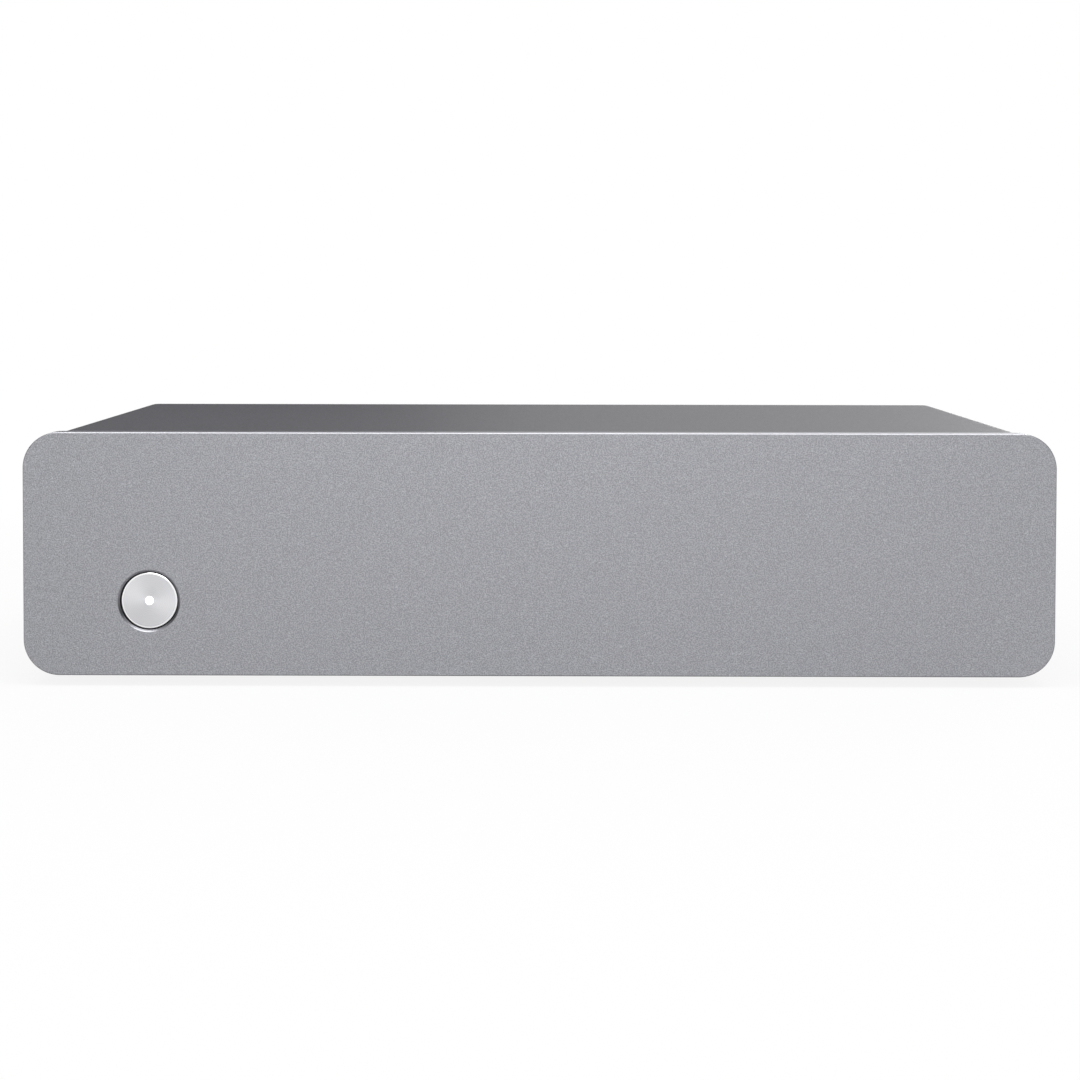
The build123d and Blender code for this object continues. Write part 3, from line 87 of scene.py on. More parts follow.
# Rear panel fittings
WALL_IN_Y, WALL_Y = 67.0, 68.0
INLET_X, INLET_SCREW_REACH, INLET_FACE_Y = -70.0, 20.0, 70.2
BALANCE_X = 8.0
GROUND_X, GROUND_BORE_RADIUS = 90.0, 2.05

# Phono sockets
OUTPUT_X, INPUT_X = 40.0, 68.0
SOCKET_COLUMNS = (OUTPUT_X, INPUT_X)
SOCKET_LEVELS = {"left": MID_Z + 7.0, "right": MID_Z - 7.0}
SHELL_RADIUS, SHELL_BORE_RADIUS = 4.15, 3.55
SHELL_FLOOR_Y, SHELL_END_Y = 61.0, 78.0
CONTACT_RADIUS, CONTACT_END_Y = 2.0, 77.1
INSULATION_END_Y = 77.5
BOSS_RADIUS, BOSS_END_Y = 4.8, 69.0

# Underside
FOOT_X, FOOT_Y, FOOT_RADIUS, FOOT_HEIGHT = 74.0, 50.0, 9.0, 3.8
COVER_SCREW_X, COVER_SCREW_Y = 93.0, 56.0

# Camera, fitted to the photograph's edges
CAMERA_PLACE = (1.0, -640.0, 83.75)
CAMERA_PITCH, CAMERA_YAW, CAMERA_ROLL = 2.5, 0.267, 0.1
CAMERA_LENS = 90.17
CAMERA_SHIFT = (0.0078, -0.1269)

# What the lamps and cards face, in metres
AIM = (0.0, 0.0, 0.03)

# Facets in a quarter round corner and in a full circle
CORNER_STEPS = 24
ROUND_STEPS = 72


def scaled(tree, value, low, high, start=0.0, end=1.0):
    """Moves a value that runs from start to end into the range from low to high."""
    node = tree.nodes.new("ShaderNodeMapRange")
    node.inputs["From Min"].default_value = start
    node.inputs["From Max"].default_value = end
    node.inputs["To Min"].default_value = low
    node.inputs["To Max"].default_value = high
    tree.links.new(value, node.inputs["Value"])
    return node.outputs["Result"]


def ramp_between(tree, value, start, end):
    """Goes from 0 to 1 as a value in metres goes from start to end, both in millimetres."""
    return scaled(tree, value, 0.0, 1.0, start * MM, end * MM)


def combined(tree, operation, first, second):
    """Two values joined by a maths operation."""
    node = tree.nodes.new("ShaderNodeMath")
    node.operation = operation
    tree.links.new(first, node.inputs[0])
    tree.links.new(second, node.inputs[1])
    return node.outputs["Value"]


def position(tree, centre=(0, 0, 0), stretch=(1, 1, 1)):
    """The place of a point on the object, in metres from centre, stretched for long grain."""
    source = tree.nodes.new("ShaderNodeTexCoord")
    mapping = tree.nodes.new("ShaderNodeMapping")
    mapping.vector_type = "POINT"
    mapping.inputs["Location"].default_value = [
        -place * MM * factor for place, factor in zip(centre, stretch)
    ]
    mapping.inputs["Scale"].default_value = stretch
    tree.links.new(source.outputs["Object"], mapping.inputs["Vector"])
    return mapping.outputs["Vector"]


def across_button(tree):
    """The place of a point on the object seen along the button's axis, in metres from it."""
    return position(tree, BUTTON_CENTRE, (1, 0, 1))


def length_of(tree, vector):
    """How long a vector is."""
    node = tree.nodes.new("ShaderNodeVectorMath")
    node.operation = "LENGTH"
    tree.links.new(vector, node.inputs[0])
    return node.outputs["Value"]


def noise(tree, vector, grain, detail=2.0, roughness=0.5):
    """Noise whose features are about grain millimetres across."""
    node = tree.nodes.new("ShaderNodeTexNoise")
    node.inputs["Scale"].default_value = 1 / (grain * MM)
    node.inputs["Detail"].default_value = detail
    node.inputs["Roughness"].default_value = roughness
    tree.links.new(vector, node.inputs["Vector"])
    return node.outputs["Fac"]


def tinted(colour, factor):
    """A colour made darker or brighter."""
    return tuple(min(1.0, channel * factor) for channel in colour)


def colour_ramp(tree, texture, low_colour, high_colour, low=0.35, high=0.65):
    """Blends between two colours where a texture runs from low to high."""
    ramp = tree.nodes.new("ShaderNodeValToRGB")
    ends = ramp.color_ramp.elements
    ends[0].position = low
    ends[0].color = (*low_colour, 1.0)
    ends[1].position = high
    ends[1].color = (*high_colour, 1.0)
    tree.links.new(texture, ramp.inputs["Fac"])
    return ramp.outputs["Color"]


def shaded(tree, texture, colour, darkest, brightest, low=0.35, high=0.65):
    """One colour, varied by a texture between its darkest and brightest factors."""
    return colour_ramp(tree, texture, tinted(colour, darkest), tinted(colour, brightest), low, high)


def blended(tree, factor, texture, colour):
    """A texture where factor is 0 and a plain colour where it is 1."""
    blend = tree.nodes.new("ShaderNodeMix")
    blend.data_type = "RGBA"
    # The colour sockets go by number, because the node has others of the same names.
    tree.links.new(factor, blend.inputs[0])
    tree.links.new(texture, blend.inputs[6])
    blend.inputs[7].default_value = (*colour, 1.0)
    return blend.outputs[2]


def add_bump(tree, shader, height, depth):
    """Raises the surface by a texture that is depth millimetres high, over any bump it has already."""
    bump = tree.nodes.new("ShaderNodeBump")
    bump.inputs["Distance"].default_value = depth * MM
    bump.inputs["Strength"].default_value = 1.0
    tree.links.new(height, bump.inputs["Height"])
    socket = shader.inputs["Normal"]
    if socket.is_linked:
        tree.links.new(socket.links[0].from_socket, bump.inputs["Normal"])
    tree.links.new(bump.outputs["Normal"], socket)


def surface(name, metallic, roughness, specular=0.5, coat=0.0):
    """A new material with its constants set. Returns the material, its tree and its shader."""
    material = bpy.data.materials.new(name)
    material.use_nodes = True
    shader = material.node_tree.nodes["Principled BSDF"]
    shader.inputs["Metallic"].default_value = metallic
    shader.inputs["Roughness"].default_value = roughness
    shader.inputs["Specular IOR Level"].default_value = specular
    shader.inputs["Coat Weight"].default_value = coat
    shader.inputs["Coat Roughness"].default_value = 0.15
    return material, material.node_tree, shader


def front_edge(tree):
    """1 on the panel's front chamfer, told by its depth behind the front face, and 0 elsewhere."""
    parts = tree.nodes.new("ShaderNodeSeparateXYZ")
    tree.links.new(position(tree, (0, FRONT_Y, 0)), parts.inputs["Vector"])
    depth = parts.outputs["Y"]
    starts = ramp_between(tree, depth, 0.01, 0.03)
    ends = ramp_between(tree, depth, PANEL_EDGE + 0.01, PANEL_EDGE - 0.01)
    return combined(tree, "MULTIPLY", starts, ends)


def blasted_aluminium(name, colour, roughness, grain, depth, spread, hole_shade_and_finish, edge_finish):
    """Bead-blasted and anodised metal: fine bright and dark specks, and a sheen that varies slowly.

    The chamfers of the front edge and of the button's hole were cut after blasting, so they are
    smoother. Each has a colour and roughness of its own; the hole's darker colour, which also fills
    its bore, is painted shade in the hole. Sparse specks of brighter colour are painted glints.
    """
    glint_shift = (31.0, 17.0, 53.0)
    glint_start, glint_full, glint_factor = 0.70, 0.80, 1.35
    material, tree, shader = surface(name, 1.0, roughness)
    here = position(tree)
    specks = noise(tree, here, grain, detail=0.0)
    face = shaded(tree, specks, colour, 1 - spread, 1 + spread, 0.3, 0.7)
    # Painted glints: sparse specks made brighter in the colour, standing in for grains that catch the
    # light.
    glint_noise = noise(tree, position(tree, glint_shift), grain * 1.2, detail=0.0)
    painted_glints = scaled(tree, glint_noise, 0.0, 1.0, glint_start, glint_full)
    face = blended(tree, painted_glints, face, tinted(colour, glint_factor))
    clouds = noise(tree, here, 14.0, detail=3.0)
    rough = scaled(tree, clouds, roughness * 0.92, roughness * 1.08)
    chamfer_end = HOLE_RADIUS + HOLE_CHAMFER
    reach = length_of(tree, across_button(tree))
    # The hole and its bore get a darker colour: painted shade in the hole, which also dims the lit crescent
    # on its chamfer. The front edge's colour is its own.
    hole = ramp_between(tree, reach, chamfer_end + 0.005, chamfer_end - 0.015)
    for cut, (cut_colour_and_shade, cut_roughness) in ((hole, hole_shade_and_finish), (front_edge(tree), edge_finish)):
        face = blended(tree, cut, face, cut_colour_and_shade)
        smooth = tree.nodes.new("ShaderNodeMix")
        tree.links.new(cut, smooth.inputs["Factor"])
        tree.links.new(rough, smooth.inputs["A"])
        smooth.inputs["B"].default_value = cut_roughness
        rough = smooth.outputs["Result"]
    tree.links.new(face, shader.inputs["Base Color"])
    tree.links.new(rough, shader.inputs["Roughness"])
    add_bump(tree, shader, specks, depth)
    return material


def powder_coat(name, colour, roughness, specular, grain=0.5, depth=0.03, spread=0.2):
    """Matt paint with an orange-peel skin."""
    material, tree, shader = surface(name, 0.0, roughness, specular)
    peel = noise(tree, position(tree), grain)
    tree.links.new(shaded(tree, peel, colour, 1 - spread, 1 + spread), shader.inputs["Base Color"])
    tree.links.new(scaled(tree, peel, roughness * 0.9, roughness * 1.1), shader.inputs["Roughness"])
    add_bump(tree, shader, peel, depth)
    return material


def moulded(name, colour, roughness, grain=0.35, depth=0.01, coat=0.0, subsurface=0.0):
    """Injection-moulded plastic with a fine spark texture."""
    material, tree, shader = surface(name, 0.0, roughness, coat=coat)
    shader.inputs["Subsurface Weight"].default_value = subsurface
    shader.inputs["Subsurface Scale"].default_value = 1.0 * MM
    here = position(tree)
    spark = noise(tree, here, grain)
    clouds = noise(tree, here, 6.0)
    tree.links.new(shaded(tree, clouds, colour, 0.93, 1.05), shader.inputs["Base Color"])
    tree.links.new(scaled(tree, spark, roughness * 0.85, roughness * 1.15), shader.inputs["Roughness"])
    add_bump(tree, shader, spark, depth)
    return material


def plated(name, colour, roughness, grain=1.5, streak=(1, 1, 1)):
    """Plated or plain metal with handling marks; streak stretches them into turning or drawing lines."""
    material, tree, shader = surface(name, 1.0, roughness)
    marks = noise(tree, position(tree, stretch=streak), grain, detail=4.0, roughness=0.65)
    tree.links.new(shaded(tree, marks, colour, 0.88, 1.06), shader.inputs["Base Color"])
    tree.links.new(scaled(tree, marks, roughness * 0.7, roughness * 1.3), shader.inputs["Roughness"])
    add_bump(tree, shader, marks, 0.003)
    return material


def spun_aluminium(name, colour):
    """The button's face, turned on a lathe: fine rings round its own axis and a fan-shaped sheen.

    Its rim is smoother than the rest and nearly white in colour, which is partly its polish and partly a
    painted highlight.
    """
    material, tree, shader = surface(name, 1.0, 0.34)
    here = across_button(tree)
    rim_start = BUTTON_RADIUS - BUTTON_RIM
    rim = ramp_between(tree, length_of(tree, here), rim_start - 0.07, rim_start - 0.01)
    rings = tree.nodes.new("ShaderNodeTexWave")
    rings.wave_type = "RINGS"
    rings.rings_direction = "Y"
    rings.inputs["Scale"].default_value = 900.0
    rings.inputs["Distortion"].default_value = 1.5
    rings.inputs["Detail"].default_value = 2.0
    rings.inputs["Detail Scale"].default_value = 2.0
    tree.links.new(here, rings.inputs["Vector"])
    face = shaded(tree, rings.outputs["Fac"], colour, 0.97, 1.02, 0.1, 0.9)
    # The rim's nearly white colour is partly its polish and partly a painted highlight.
    tree.links.new(blended(tree, rim, face, (0.96, 0.96, 0.97)), shader.inputs["Base Color"])
    tree.links.new(scaled(tree, rim, 0.36, 0.12), shader.inputs["Roughness"])
    tangent = tree.nodes.new("ShaderNodeTangent")
    tangent.direction_type = "RADIAL"
    tangent.axis = "Y"
    tree.links.new(tangent.outputs["Tangent"], shader.inputs["Tangent"])
    shader.inputs["Anisotropic"].default_value = 0.5
    add_bump(tree, shader, rings.outputs["Fac"], 0.0015)
    return material


def lit_lens(name):
    """Clear plastic lit from behind, with a slightly uneven glow."""
    material, tree, shader = surface(name, 0.0, 0.2)
    glow = noise(tree, position(tree, BUTTON_CENTRE), 3.0)
    white = (1.0, 1.0, 1.0)
    tree.links.new(colour_ramp(tree, glow, (0.93, 0.95, 1.0), white), shader.inputs["Base Color"])
    tree.links.new(colour_ramp(tree, glow, (0.96, 0.98, 1.0), white), shader.inputs["Emission Color"])
    shader.inputs["Emission Strength"].default_value = 1.0
    return material


def glass_tube(name):
    """The fuse's clear glass, with a faint tint."""
    material, tree, shader = surface(name, 0.0, 0.05)
    tint = colour_ramp(tree, noise(tree, position(tree), 2.0), (0.80, 0.86, 0.85), (0.90, 0.93, 0.92))
    tree.links.new(tint, shader.inputs["Base Color"])
    shader.inputs["Transmission Weight"].default_value = 0.8
    shader.inputs["IOR"].default_value = 1.5
    return material


def board_laminate(name, colour):
    """Solder mask over copper tracks, which show as a slightly raised and lighter pattern."""
    material, tree, shader = surface(name, 0.0, 0.35, coat=0.3)
    here = position(tree)
    tracks = tree.nodes.new("ShaderNodeTexBrick")
    tracks.inputs["Scale"].default_value = 60.0
    tracks.inputs["Mortar Size"].default_value = 0.012
    tracks.inputs["Color1"].default_value = (*colour, 1.0)
    tracks.inputs["Color2"].default_value = (*tinted(colour, 0.85), 1.0)
    tracks.inputs["Mortar"].default_value = (*tinted(colour, 1.8), 1.0)
    tree.links.new(here, tracks.inputs["Vector"])
    tree.links.new(tracks.outputs["Color"], shader.inputs["Base Color"])
    add_bump(tree, shader, tracks.outputs["Fac"], 0.035)
    add_bump(tree, shader, noise(tree, here, 0.6), 0.004)
    return material


def taped_core(name, colour):
    """Sintered core and varnished tape: dull, with faint windings."""
    material, tree, shader = surface(name, 0.0, 0.6)
    here = position(tree)
    turns = tree.nodes.new("ShaderNodeTexWave")
    turns.bands_direction = "Z"
    turns.inputs["Scale"].default_value = 180.0
    turns.inputs["Distortion"].default_value = 0.6
    tree.links.new(here, turns.inputs["Vector"])
    windings = shaded(tree, turns.outputs["Fac"], colour, 0.7, 1.5, 0.0, 1.0)
    tree.links.new(windings, shader.inputs["Base Color"])
    add_bump(tree, shader, turns.outputs["Fac"], 0.08)
    add_bump(tree, shader, noise(tree, here, 0.4), 0.02)
    return material


def striped_lead(name, colour, stripe):
    """Green insulation with a yellow stripe that winds round it."""
    material, tree, shader = surface(name, 0.0, 0.45)
    here = position(tree)
    bands = tree.nodes.new("ShaderNodeTexWave")
    bands.bands_direction = "DIAGONAL"
    bands.inputs["Scale"].default_value = 110.0
    tree.links.new(here, bands.inputs["Vector"])
    stripes = colour_ramp(tree, bands.outputs["Fac"], colour, stripe, 0.55, 0.60)
    tree.links.new(stripes, shader.inputs["Base Color"])
    add_bump(tree, shader, noise(tree, here, 0.5), 0.01)
    return material


def make_materials():
    """One material for each slot of the record."""
    return {
        "panel_aluminium": blasted_aluminium(
            "panel_aluminium",
            (0.334, 0.337, 0.359),
            0.44,
            grain=0.24,
            depth=0.02,
            spread=0.19,
            # The hole's darker colour is painted shade; its lower roughness is the cut finish.
            hole_shade_and_finish=((0.215, 0.215, 0.23), 0.40),
            edge_finish=((0.30, 0.30, 0.32), 0.34),
        ),
        "cover_paint": powder_coat(
            "cover_paint",
            (0.087, 0.0865, 0.0965),
            0.50,
            specular=0.25,
            grain=0.35,
            depth=0.05,
            spread=0.45,
        ),
        "chassis_steel": powder_coat("chassis_steel", (0.045, 0.045, 0.048), 0.55, specular=0.4),
        "button_aluminium": spun_aluminium("button_aluminium", (0.66, 0.66, 0.68)),
        "clear_plastic": lit_lens("clear_plastic"),
        "lamp_plastic": lit_lens("lamp_plastic"),
        "zinc_screws": plated("zinc_screws", (0.56, 0.57, 0.56), 0.32),
        "black_screws": plated("black_screws", (0.035, 0.035, 0.037), 0.38),
        "spring_steel": plated("spring_steel", (0.50, 0.50, 0.49), 0.28, streak=(1, 6, 1)),
        "brass_fittings": plated("brass_fittings", (0.60, 0.45, 0.20), 0.30, streak=(1, 1, 6)),
        "nickel_contacts": plated("nickel_contacts", (0.66, 0.63, 0.58), 0.20, streak=(1, 5, 1)),
        "pot_metal": plated("pot_metal", (0.48, 0.48, 0.47), 0.40, streak=(1, 4, 1)),
        "tinned_steel": plated("tinned_steel", (0.58, 0.58, 0.57), 0.35, grain=3.0),
        "black_aluminium": plated("black_aluminium", (0.035, 0.035, 0.037), 0.45, streak=(1, 1, 8)),
        "black_rubber": moulded("black_rubber", (0.020, 0.020, 0.021), 0.80, grain=0.25, depth=0.02),
        "black_plastic": moulded("black_plastic", (0.022, 0.022, 0.024), 0.48, depth=0.015),
        "white_plastic": moulded("white_plastic", (0.78, 0.78, 0.75), 0.32, coat=0.2, subsurface=0.1),
        "red_plastic": moulded("red_plastic", (0.52, 0.018, 0.016), 0.32, coat=0.2),
        "grey_plastic": moulded("grey_plastic", (0.30, 0.30, 0.31), 0.5),
        "capacitor_sleeve": moulded("capacitor_sleeve", (0.02, 0.02, 0.035), 0.28, coat=0.4),
        "board_laminate": board_laminate("board_laminate", (0.012, 0.10, 0.045)),
        "ferrite": taped_core("ferrite", (0.06, 0.055, 0.05)),
        "fuse_glass": glass_tube("fuse_glass"),
        "green_plastic": striped_lead("green_plastic", (0.02, 0.25, 0.05), (0.75, 0.62, 0.04)),
    }


def paint_cad_nodes():
    """Gives every carried-over node the material of its slot in the record."""
    for part in frame["record"]["subparts"]:
        mesh = frame["nodes"][part["node"]].data
        mesh.materials.clear()
        mesh.materials.append(materials[part["material_slot"]])


def facing_back(x, y, z):
    """A place whose own +Z points to the back."""
    return Matrix.Translation((x, y, z)) @ Matrix.Rotation(math.radians(-90), 4, "X")


def facing_front(x, y, z):
    """A place whose own +Z points to the front."""
    return Matrix.Translation((x, y, z)) @ Matrix.Rotation(math.radians(90), 4, "X")


def facing_down(x, y, z):
    """A place whose own +Z points to the floor."""
    return Matrix.Translation((x, y, z)) @ Matrix.Rotation(math.pi, 4, "X")


def y_extent(node):
    """Where a CAD node starts and ends from front to back."""
    low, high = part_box(node)
    return low.y / MM, high.y / MM


def hexagon_corner(across_flats):
    """How far the corners of a hexagon are from its middle."""
    return across_flats / 2 / math.cos(math.pi / 6)


def add_loop(bm, points):
    """Adds the points of a closed loop, which faces then join or fill."""
    return [bm.verts.new(point) for point in points]


def join_loops(bm, first, second):
    """Faces between two closed loops of equal length."""
    for index in range(len(first)):
        bm.faces.new((first[index - 1], first[index], second[index], second[index - 1]))


def join_in_turn(bm, loops):
    """Faces between each loop and the next."""
    for first, second in zip(loops, loops[1:]):
        join_loops(bm, first, second)


def fill_flat(bm, *loops):
    """Fills the flat region between an outer loop and the loops inside it."""
    edges = []
    for loop in loops:
        for index in range(len(loop)):
            edge = bm.edges.get((loop[index - 1], loop[index]))
            edges.append(edge or bm.edges.new((loop[index - 1], loop[index])))
    bmesh.ops.triangle_fill(bm, use_beauty=True, edges=edges)


def circle(radius, height, place, steps, ripple=None):
    """Points of a circle round the place's own Z; ripple(angle, height) adds to its radius."""
    points = []
    for step in range(steps):
        angle = 2 * math.pi * step / steps
        reach = radius + (ripple(angle, height) if ripple else 0.0)
        points.append(place @ Vector((reach * math.cos(angle), reach * math.sin(angle), height)))
    return points


def turned(bm, profile, place, steps=ROUND_STEPS, hollow=False, ripple=None):
    """Adds a solid of revolution from a profile of (radius, height) points.

    A solid profile starts and ends on flat faces. A hollow one goes all the way round a ring.
    """
    loops = [
        add_loop(bm, circle(radius, height, place, steps, ripple)) for radius, height in profile
    ]
    join_in_turn(bm, loops)
    if hollow:
        join_loops(bm, loops[-1], loops[0])
    else:
        bm.faces.new(loops[0])
        bm.faces.new(loops[-1])


def add_block(bm, low, high):
    """Adds a box between two corners."""
    size = [end - start for start, end in zip(low, high)]
    middle = [(start + end) / 2 for start, end in zip(low, high)]
    matrix = Matrix.Translation(middle) @ Matrix.Diagonal((*size, 1.0))
    bmesh.ops.create_cube(bm, size=1.0, matrix=matrix)


def add_screw_head(bm, radius, height, place):
    """Adds a domed head with a cross recess, its seat at the place's z = 0."""
    # The dome's outline, in shares of the head's radius and height
    dome = (
        (0.97, 0.0),
        (1.0, 0.12),
        (1.0, 0.45),
        (0.96, 0.68),
        (0.85, 0.87),
        (0.74, 0.96),
        (0.62, 1.0),
    )
    loops = [
        add_loop(bm, circle(radius * across, height * up, place, steps=48)) for across, up in dome
    ]
    join_in_turn(bm, loops)
    bm.faces.new(loops[0])
    arm, half_arm_width = radius * 0.52, radius * 0.11
    quarter = ((arm, -half_arm_width), (arm, half_arm_width), (half_arm_width, half_arm_width))

    def cross(scale, level):
        """The recess's outline at one level, drawn in by scale."""
        points = []
        for turn in range(4):
            spin = Matrix.Rotation(turn * math.pi / 2, 4, "Z")
            points += [place @ spin @ Vector((x * scale, y * scale, level)) for x, y in quarter]
        return add_loop(bm, points)

    rim = cross(1.0, height)
    bottom = cross(0.72, height * 0.35)
    fill_flat(bm, loops[-1], rim)
    join_loops(bm, rim, bottom)
    fill_flat(bm, bottom)


def soften(obj, edge, segments):
    """Rounds the piece's edges by edge millimetres and keeps its flat faces flat."""
    rounded_above, sharp_above = math.radians(32), math.radians(38)
    if edge:
        rounding = obj.modifiers.new("edges", "BEVEL")
        rounding.width = edge * MM
        rounding.segments = segments
        rounding.limit_method = "ANGLE"
        rounding.angle_limit = rounded_above
    obj.data.shade_smooth()
    if not edge:
        obj.data.set_sharp_from_angle(angle=sharp_above)
    normals = obj.modifiers.new("normals", "WEIGHTED_NORMAL")
    normals.keep_sharp = True


def finish_piece(name, bm, slot, body, nodes=(), edge=0.0, segments=2):
    """Turns the mesh into a named piece that rides on a body and stands for the CAD nodes."""
    bmesh.ops.recalc_face_normals(bm, faces=bm.faces)
    bmesh.ops.scale(bm, vec=(MM, MM, MM), verts=bm.verts)
    mesh = bpy.data.meshes.new(name)
    bm.to_mesh(mesh)
    bm.free()
    mesh.materials.append(materials[slot])
    obj = bpy.data.objects.new(name, mesh)
    bpy.context.scene.collection.objects.link(obj)
    soften(obj, edge, segments)
    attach(obj, body)
    if nodes:
        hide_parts(*nodes)
    return obj


def refine_node(name, node, slot, edge):
    """A copy of a flat-sided CAD node with its triangles merged and its edges rounded."""
    bm = bmesh.new()
    bm.from_mesh(frame["nodes"][node].data)
    bmesh.ops.scale(bm, vec=(1 / MM, 1 / MM, 1 / MM), verts=bm.verts)
    bmesh.ops.remove_doubles(bm, verts=bm.verts, dist=0.001)
    bmesh.ops.dissolve_limit(bm, angle_limit=math.radians(1.0), verts=bm.verts, edges=bm.edges)
    finish_piece(name, bm, slot, "case", [node], edge=edge, segments=3)


def rounded_outline(half_width, low, high, radius):
    """Points (x, z) round a rectangle with round corners, from its lower right corner."""
    corners = (
        (half_width - radius, low + radius, -90),
        (half_width - radius, high - radius, 0),
        (radius - half_width, high - radius, 90),
        (radius - half_width, low + radius, 180),
    )
    points = []
    for x, z, start in corners:
        for step in range(CORNER_STEPS + 1):
            angle = math.radians(start + 90 * step / CORNER_STEPS)
            points.append((x + radius * math.cos(angle), z + radius * math.sin(angle)))
    return points


def make_front_panel():
    """The thick front plate with its chamfered edge and the chamfered hole for the button."""
    bm = bmesh.new()
    outer = []
    for inset, y in ((PANEL_EDGE, FRONT_Y), (0.0, FRONT_Y + PANEL_EDGE), (0.0, PANEL_BACK_Y)):
        outline = rounded_outline(
            PANEL_HALF_WIDTH - inset, PANEL_LOW + inset, PANEL_HIGH - inset, PANEL_CORNER - inset
        )
        outer.append(add_loop(bm, [(x, y, z) for x, z in outline]))
    counterbore_y = PANEL_BACK_Y - COUNTERBORE_DEPTH
    bore = (
        (HOLE_RADIUS + HOLE_CHAMFER, FRONT_Y),
        (HOLE_RADIUS, FRONT_Y + HOLE_CHAMFER),
        (HOLE_RADIUS, counterbore_y),
        (COUNTERBORE_RADIUS, counterbore_y),
        (COUNTERBORE_RADIUS, PANEL_BACK_Y),
    )
    inner = [
        add_loop(bm, circle(radius, 0.0, facing_back(BUTTON_X, y, BUTTON_Z), steps=96))
        for radius, y in bore
    ]
    join_in_turn(bm, outer)
    join_in_turn(bm, inner)
    fill_flat(bm, outer[0], inner[0])
    fill_flat(bm, outer[-1], inner[-1])
    finish_piece("front_plate", bm, "panel_aluminium", "case", ["front_panel"])


def make_cover():
    """The wrapped steel sheet, open below between its two return flanges."""
    bm = bmesh.new()
    half_width = PANEL_HALF_WIDTH - COVER_INSET
    corner = PANEL_CORNER - COVER_INSET
    high = PANEL_HIGH - COVER_INSET

    def wrapped(inset):
        """The sheet's line from one flange's end, over the top, to the other's."""
        outline = rounded_outline(half_width - inset, COVER_LOW + inset, high - inset, corner - inset)
        start = (COVER_OPENING_HALF, COVER_LOW + inset)
        return [start, *outline, (-start[0], start[1])]

    section = wrapped(0.0) + wrapped(SHEET)[::-1]
    front = add_loop(bm, [(x, PANEL_BACK_Y, z) for x, z in section])
    back = add_loop(bm, [(x, COVER_REAR_Y, z) for x, z in section])
    join_loops(bm, front, back)
    for loop in (front, back):
        for index in range(len(section) // 2 - 1):
            bm.faces.new((loop[index], loop[index + 1], loop[-index - 2], loop[-index - 1]))
    finish_piece("cover_sheet", bm, "cover_paint", "case", ["cover"], edge=0.18)


def make_button_cap():
    """The turned cap, open in its middle for the light."""
    bm = bmesh.new()
    length = BUTTON_SKIRT_Y - BUTTON_FACE_Y
    wall, bore_radius, rim_fall = 1.0, LENS_RADIUS + 0.03, 0.1
    profile = (
        (bore_radius, length - 0.04),
        (LENS_RADIUS + 0.07, length),
        (BUTTON_RADIUS - BUTTON_RIM, length),
        (BUTTON_RADIUS - 0.03, length - rim_fall),
        (BUTTON_RADIUS, length - rim_fall - 0.05),
        (BUTTON_RADIUS, 0.0),
        (BUTTON_RADIUS - wall, 0.0),
        (BUTTON_RADIUS - wall, length - wall),
        (bore_radius, length - wall),
    )
    turned(bm, profile, facing_front(BUTTON_X, BUTTON_SKIRT_Y, BUTTON_Z), steps=96, hollow=True)
    finish_piece("button_cap", bm, "button_aluminium", "button", ["power_button"])


def make_light_rod():
    """The light rod, whose narrow end shows in the cap's middle."""
    bm = bmesh.new()
    length = ROD_END_Y - BUTTON_FACE_Y
    shoulder = length - 1.05
    profile = (
        (ROD_RADIUS, 0.0),
        (ROD_RADIUS, shoulder),
        (LENS_RADIUS, shoulder),
        (LENS_RADIUS, length - 0.05),
        (LENS_RADIUS - 0.12, length - 0.01),
        (LENS_RADIUS - 0.35, length),
    )
    turned(bm, profile, facing_front(BUTTON_X, ROD_END_Y, BUTTON_Z), steps=48)
    finish_piece("light_rod", bm, "clear_plastic", "button", ["button_light_rod"])


def make_return_spring():
    """The coil between the button's flange and its guide, which shortens as the button is pressed."""
    wire_radius, coil_radius, turns = 0.24, 4.5, 3
    turn_steps, sides = 48, 12
    low, high = y_extent("button_return_spring")
    length = high - low - 2 * wire_radius
    slope = math.atan2(length, 2 * math.pi * coil_radius * turns)
    bm = bmesh.new()
    rings = []
    for step in range(turns * turn_steps + 1):
        angle = 2 * math.pi * step / turn_steps
        outward = Vector((math.cos(angle), 0.0, math.sin(angle)))
        level = Vector((-math.sin(angle), 0.0, math.cos(angle)))
        along = level * math.cos(slope) + Vector((0.0, math.sin(slope), 0.0))
        across = outward.cross(along)
        advance = low + wire_radius + length * step / (turns * turn_steps)
        middle = Vector((BUTTON_X, advance, BUTTON_Z)) + coil_radius * outward
        ring = []
        for side in range(sides):
            spin = 2 * math.pi * side / sides
            ring.append(middle + wire_radius * (math.cos(spin) * outward + math.sin(spin) * across))
        rings.append(add_loop(bm, ring))
    join_in_turn(bm, rings)
    bm.faces.new(rings[0])
    bm.faces.new(rings[-1])
    spring = finish_piece("return_spring", bm, "spring_steel", "case", ["button_return_spring"])
    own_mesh(spring)


